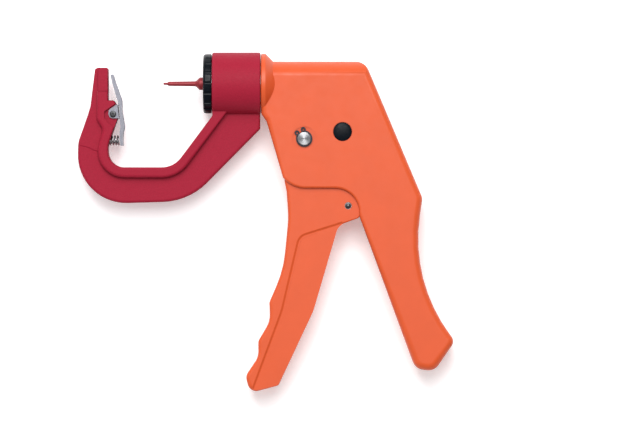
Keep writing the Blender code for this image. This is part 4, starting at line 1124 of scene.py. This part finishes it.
class APPLICATOR_OT_plugs(bpy.types.Operator):
    """Makes the domed plugs of the two service holes"""

    bl_idname = "applicator.plugs"
    bl_label = "Service Plugs"

    def execute(self, context):
        surface = black_moulded("black_plug", colours().black, 0.4)
        head = WALL_OUT - 0.25
        dome = [(0, head + 1.1)]
        for k in range(1, 9):
            turn = math.pi / 2 * k / 8
            dome.append((PLUG_R * math.sin(turn), head + 1.1 * math.cos(turn)))
        stem = [(3.9, head), (3.9, 9.5), (4.5, 9.4), (3.7, 8.1), (2.6, 8.1), (2.6, 11.0), (0, 11.0)]
        for side, word in SIDES:
            name = "service_plug_" + word
            plug = turned(name + "_cap", [(r, side * h) for r, h in [*dome, *stem]], 56, PLUG)
            low, high = span(side, 5.8, 11.4)
            slots = boxes(name + "_slots", ((PLUG[0] - 8, PLUG[1] - 0.6, low), (PLUG[0] + 8, PLUG[1] + 0.6, high)))
            shaped(plug, ("DIFFERENCE", slots))
            finished(name + "_cap", plug, "housing", [name], surface)
        return {"FINISHED"}


class APPLICATOR_OT_drive(bpy.types.Operator):
    """Gives the inner parts of the drive their finishes"""

    bl_idname = "applicator.drive"
    bl_label = "Drive Parts"

    def execute(self, context):
        plate = metal("stamped_plate_steel", steel(0.8), 0.4, (1, 1, 0.2), 0.012)
        ground = metal("ground_rod_steel", steel(1.0), 0.24, (0.15, 1, 1))
        zinc = metal("zinc_sleeve_steel", steel(0.85), 0.38, grain=0.015)
        for name, surface in (
            ("drive_plate_left", plate),
            ("drive_plate_right", plate),
            ("plate_dowel", ground),
            ("plunger", ground),
            ("plunger_cross_pin", ground),
            ("barrel_sleeve", zinc),
            ("frame_key", zinc),
            ("guide_bush", metal("bearing_bronze", colours().bronze, 0.36)),
        ):
            dress_node(name, surface)
        return {"FINISHED"}


class APPLICATOR_OT_stage(bpy.types.Operator):
    """Sets the floor, the soft lights and the camera"""

    bl_idname = "applicator.stage"
    bl_label = "Stage"

    def execute(self, context):
        scene = context.scene
        stage = scene.applicator_stage
        mesh = bmesh.new()
        bmesh.ops.create_grid(mesh, x_segments=1, y_segments=1, size=2.5)
        bmesh.ops.translate(mesh, verts=mesh.verts, vec=(0, 0, -0.05 * MM))
        data = bpy.data.meshes.new("floor")
        mesh.to_mesh(data)
        mesh.free()
        floor = bpy.data.objects.new("floor", data)
        scene.collection.objects.link(floor)
        f = Finish("pale_floor", stage.floor, 0.0, 0.7, Emission_Color=(1, 1, 1, 1), Emission_Strength=stage.glow)
        f.tint(f.noise(90 * MM), 0.006)
        data.materials.append(f.material)

        world = bpy.data.worlds.new("pale_room")
        world.use_nodes = True
        sky = world.node_tree.nodes["Background"]
        sky.inputs["Color"].default_value = (0.97, 0.98, 1.0, 1)
        sky.inputs["Strength"].default_value = stage.sky
        scene.world = world
        middle = Vector((0.03, 0.0, 0.02))
        for name, spot, size, power in (
            ("key", (-0.2, 1.42, 1.7), 1.2, stage.key),
            ("fill", (-1.8, 0.1, 1.6), 1.6, stage.fill),
            ("overhead", (0.0, 0.78, 2.1), 1.1, stage.over),
        ):
            light = bpy.data.lights.new(name, "AREA")
            light.size = size
            light.energy = power
            lamp = bpy.data.objects.new(name, light)
            lamp.location = spot
            lamp.rotation_euler = (middle - lamp.location).to_track_quat("-Z", "Y").to_euler()
            scene.collection.objects.link(lamp)

        camera = bpy.data.cameras.new("camera")
        camera.lens = stage.lens
        camera.clip_start = 0.01
        camera.clip_end = 20
        eye = bpy.data.objects.new("camera", camera)
        away = stage.view_width * stage.lens / camera.sensor_width
        centre = place((PHOTO[0] / 2 - PHOTO_ZERO[0]) * PIXEL, (PHOTO_ZERO[1] - PHOTO[1] / 2) * PIXEL)
        eye.location = centre + Vector((0, 0, away))
        scene.collection.objects.link(eye)
        scene.camera = eye
        scene.view_settings.view_transform = "Standard"
        return {"FINISHED"}


class APPLICATOR_PT_panel(bpy.types.Panel):
    """Lists the applicator's settings and pieces"""

    bl_idname = "APPLICATOR_PT_panel"
    bl_label = "Ear Tag Applicator"
    bl_space_type = "VIEW_3D"
    bl_region_type = "UI"
    bl_category = "Applicator"

    def draw(self, context):
        layout = self.layout
        for group in (
            context.scene.applicator_sizes,
            context.scene.applicator_colours,
            context.scene.applicator_stage,
        ):
            box = layout.box()
            for label in group.__annotations__:
                box.prop(group, label)
        for operator in OPERATORS:
            layout.operator(operator.bl_idname)


OPERATORS = (
    APPLICATOR_OT_housing,
    APPLICATOR_OT_trigger,
    APPLICATOR_OT_c_frame,
    APPLICATOR_OT_lock_ring,
    APPLICATOR_OT_pin,
    APPLICATOR_OT_tag_clip,
    APPLICATOR_OT_springs,
    APPLICATOR_OT_screws,
    APPLICATOR_OT_axle,
    APPLICATOR_OT_plugs,
    APPLICATOR_OT_drive,
    APPLICATOR_OT_stage,
)
GROUPS = {
    "applicator_sizes": ApplicatorSizes,
    "applicator_colours": ApplicatorColours,
    "applicator_stage": ApplicatorStage,
}


def register():
    for made in (*GROUPS.values(), *OPERATORS, APPLICATOR_PT_panel):
        bpy.utils.register_class(made)
    for label, group in GROUPS.items():
        setattr(bpy.types.Scene, label, PointerProperty(type=group))


def unregister():
    for label in GROUPS:
        delattr(bpy.types.Scene, label)
    for made in reversed((*GROUPS.values(), *OPERATORS, APPLICATOR_PT_panel)):
        bpy.utils.unregister_class(made)


def main():
    register()
    bpy.ops.applicator.housing()
    bpy.ops.applicator.trigger()
    bpy.ops.applicator.c_frame()
    bpy.ops.applicator.lock_ring()
    bpy.ops.applicator.pin()
    bpy.ops.applicator.tag_clip()
    bpy.ops.applicator.springs()
    bpy.ops.applicator.screws()
    bpy.ops.applicator.axle()
    bpy.ops.applicator.plugs()
    bpy.ops.applicator.drive()
    bpy.ops.applicator.stage()


if __name__ == "__main__":
    main()
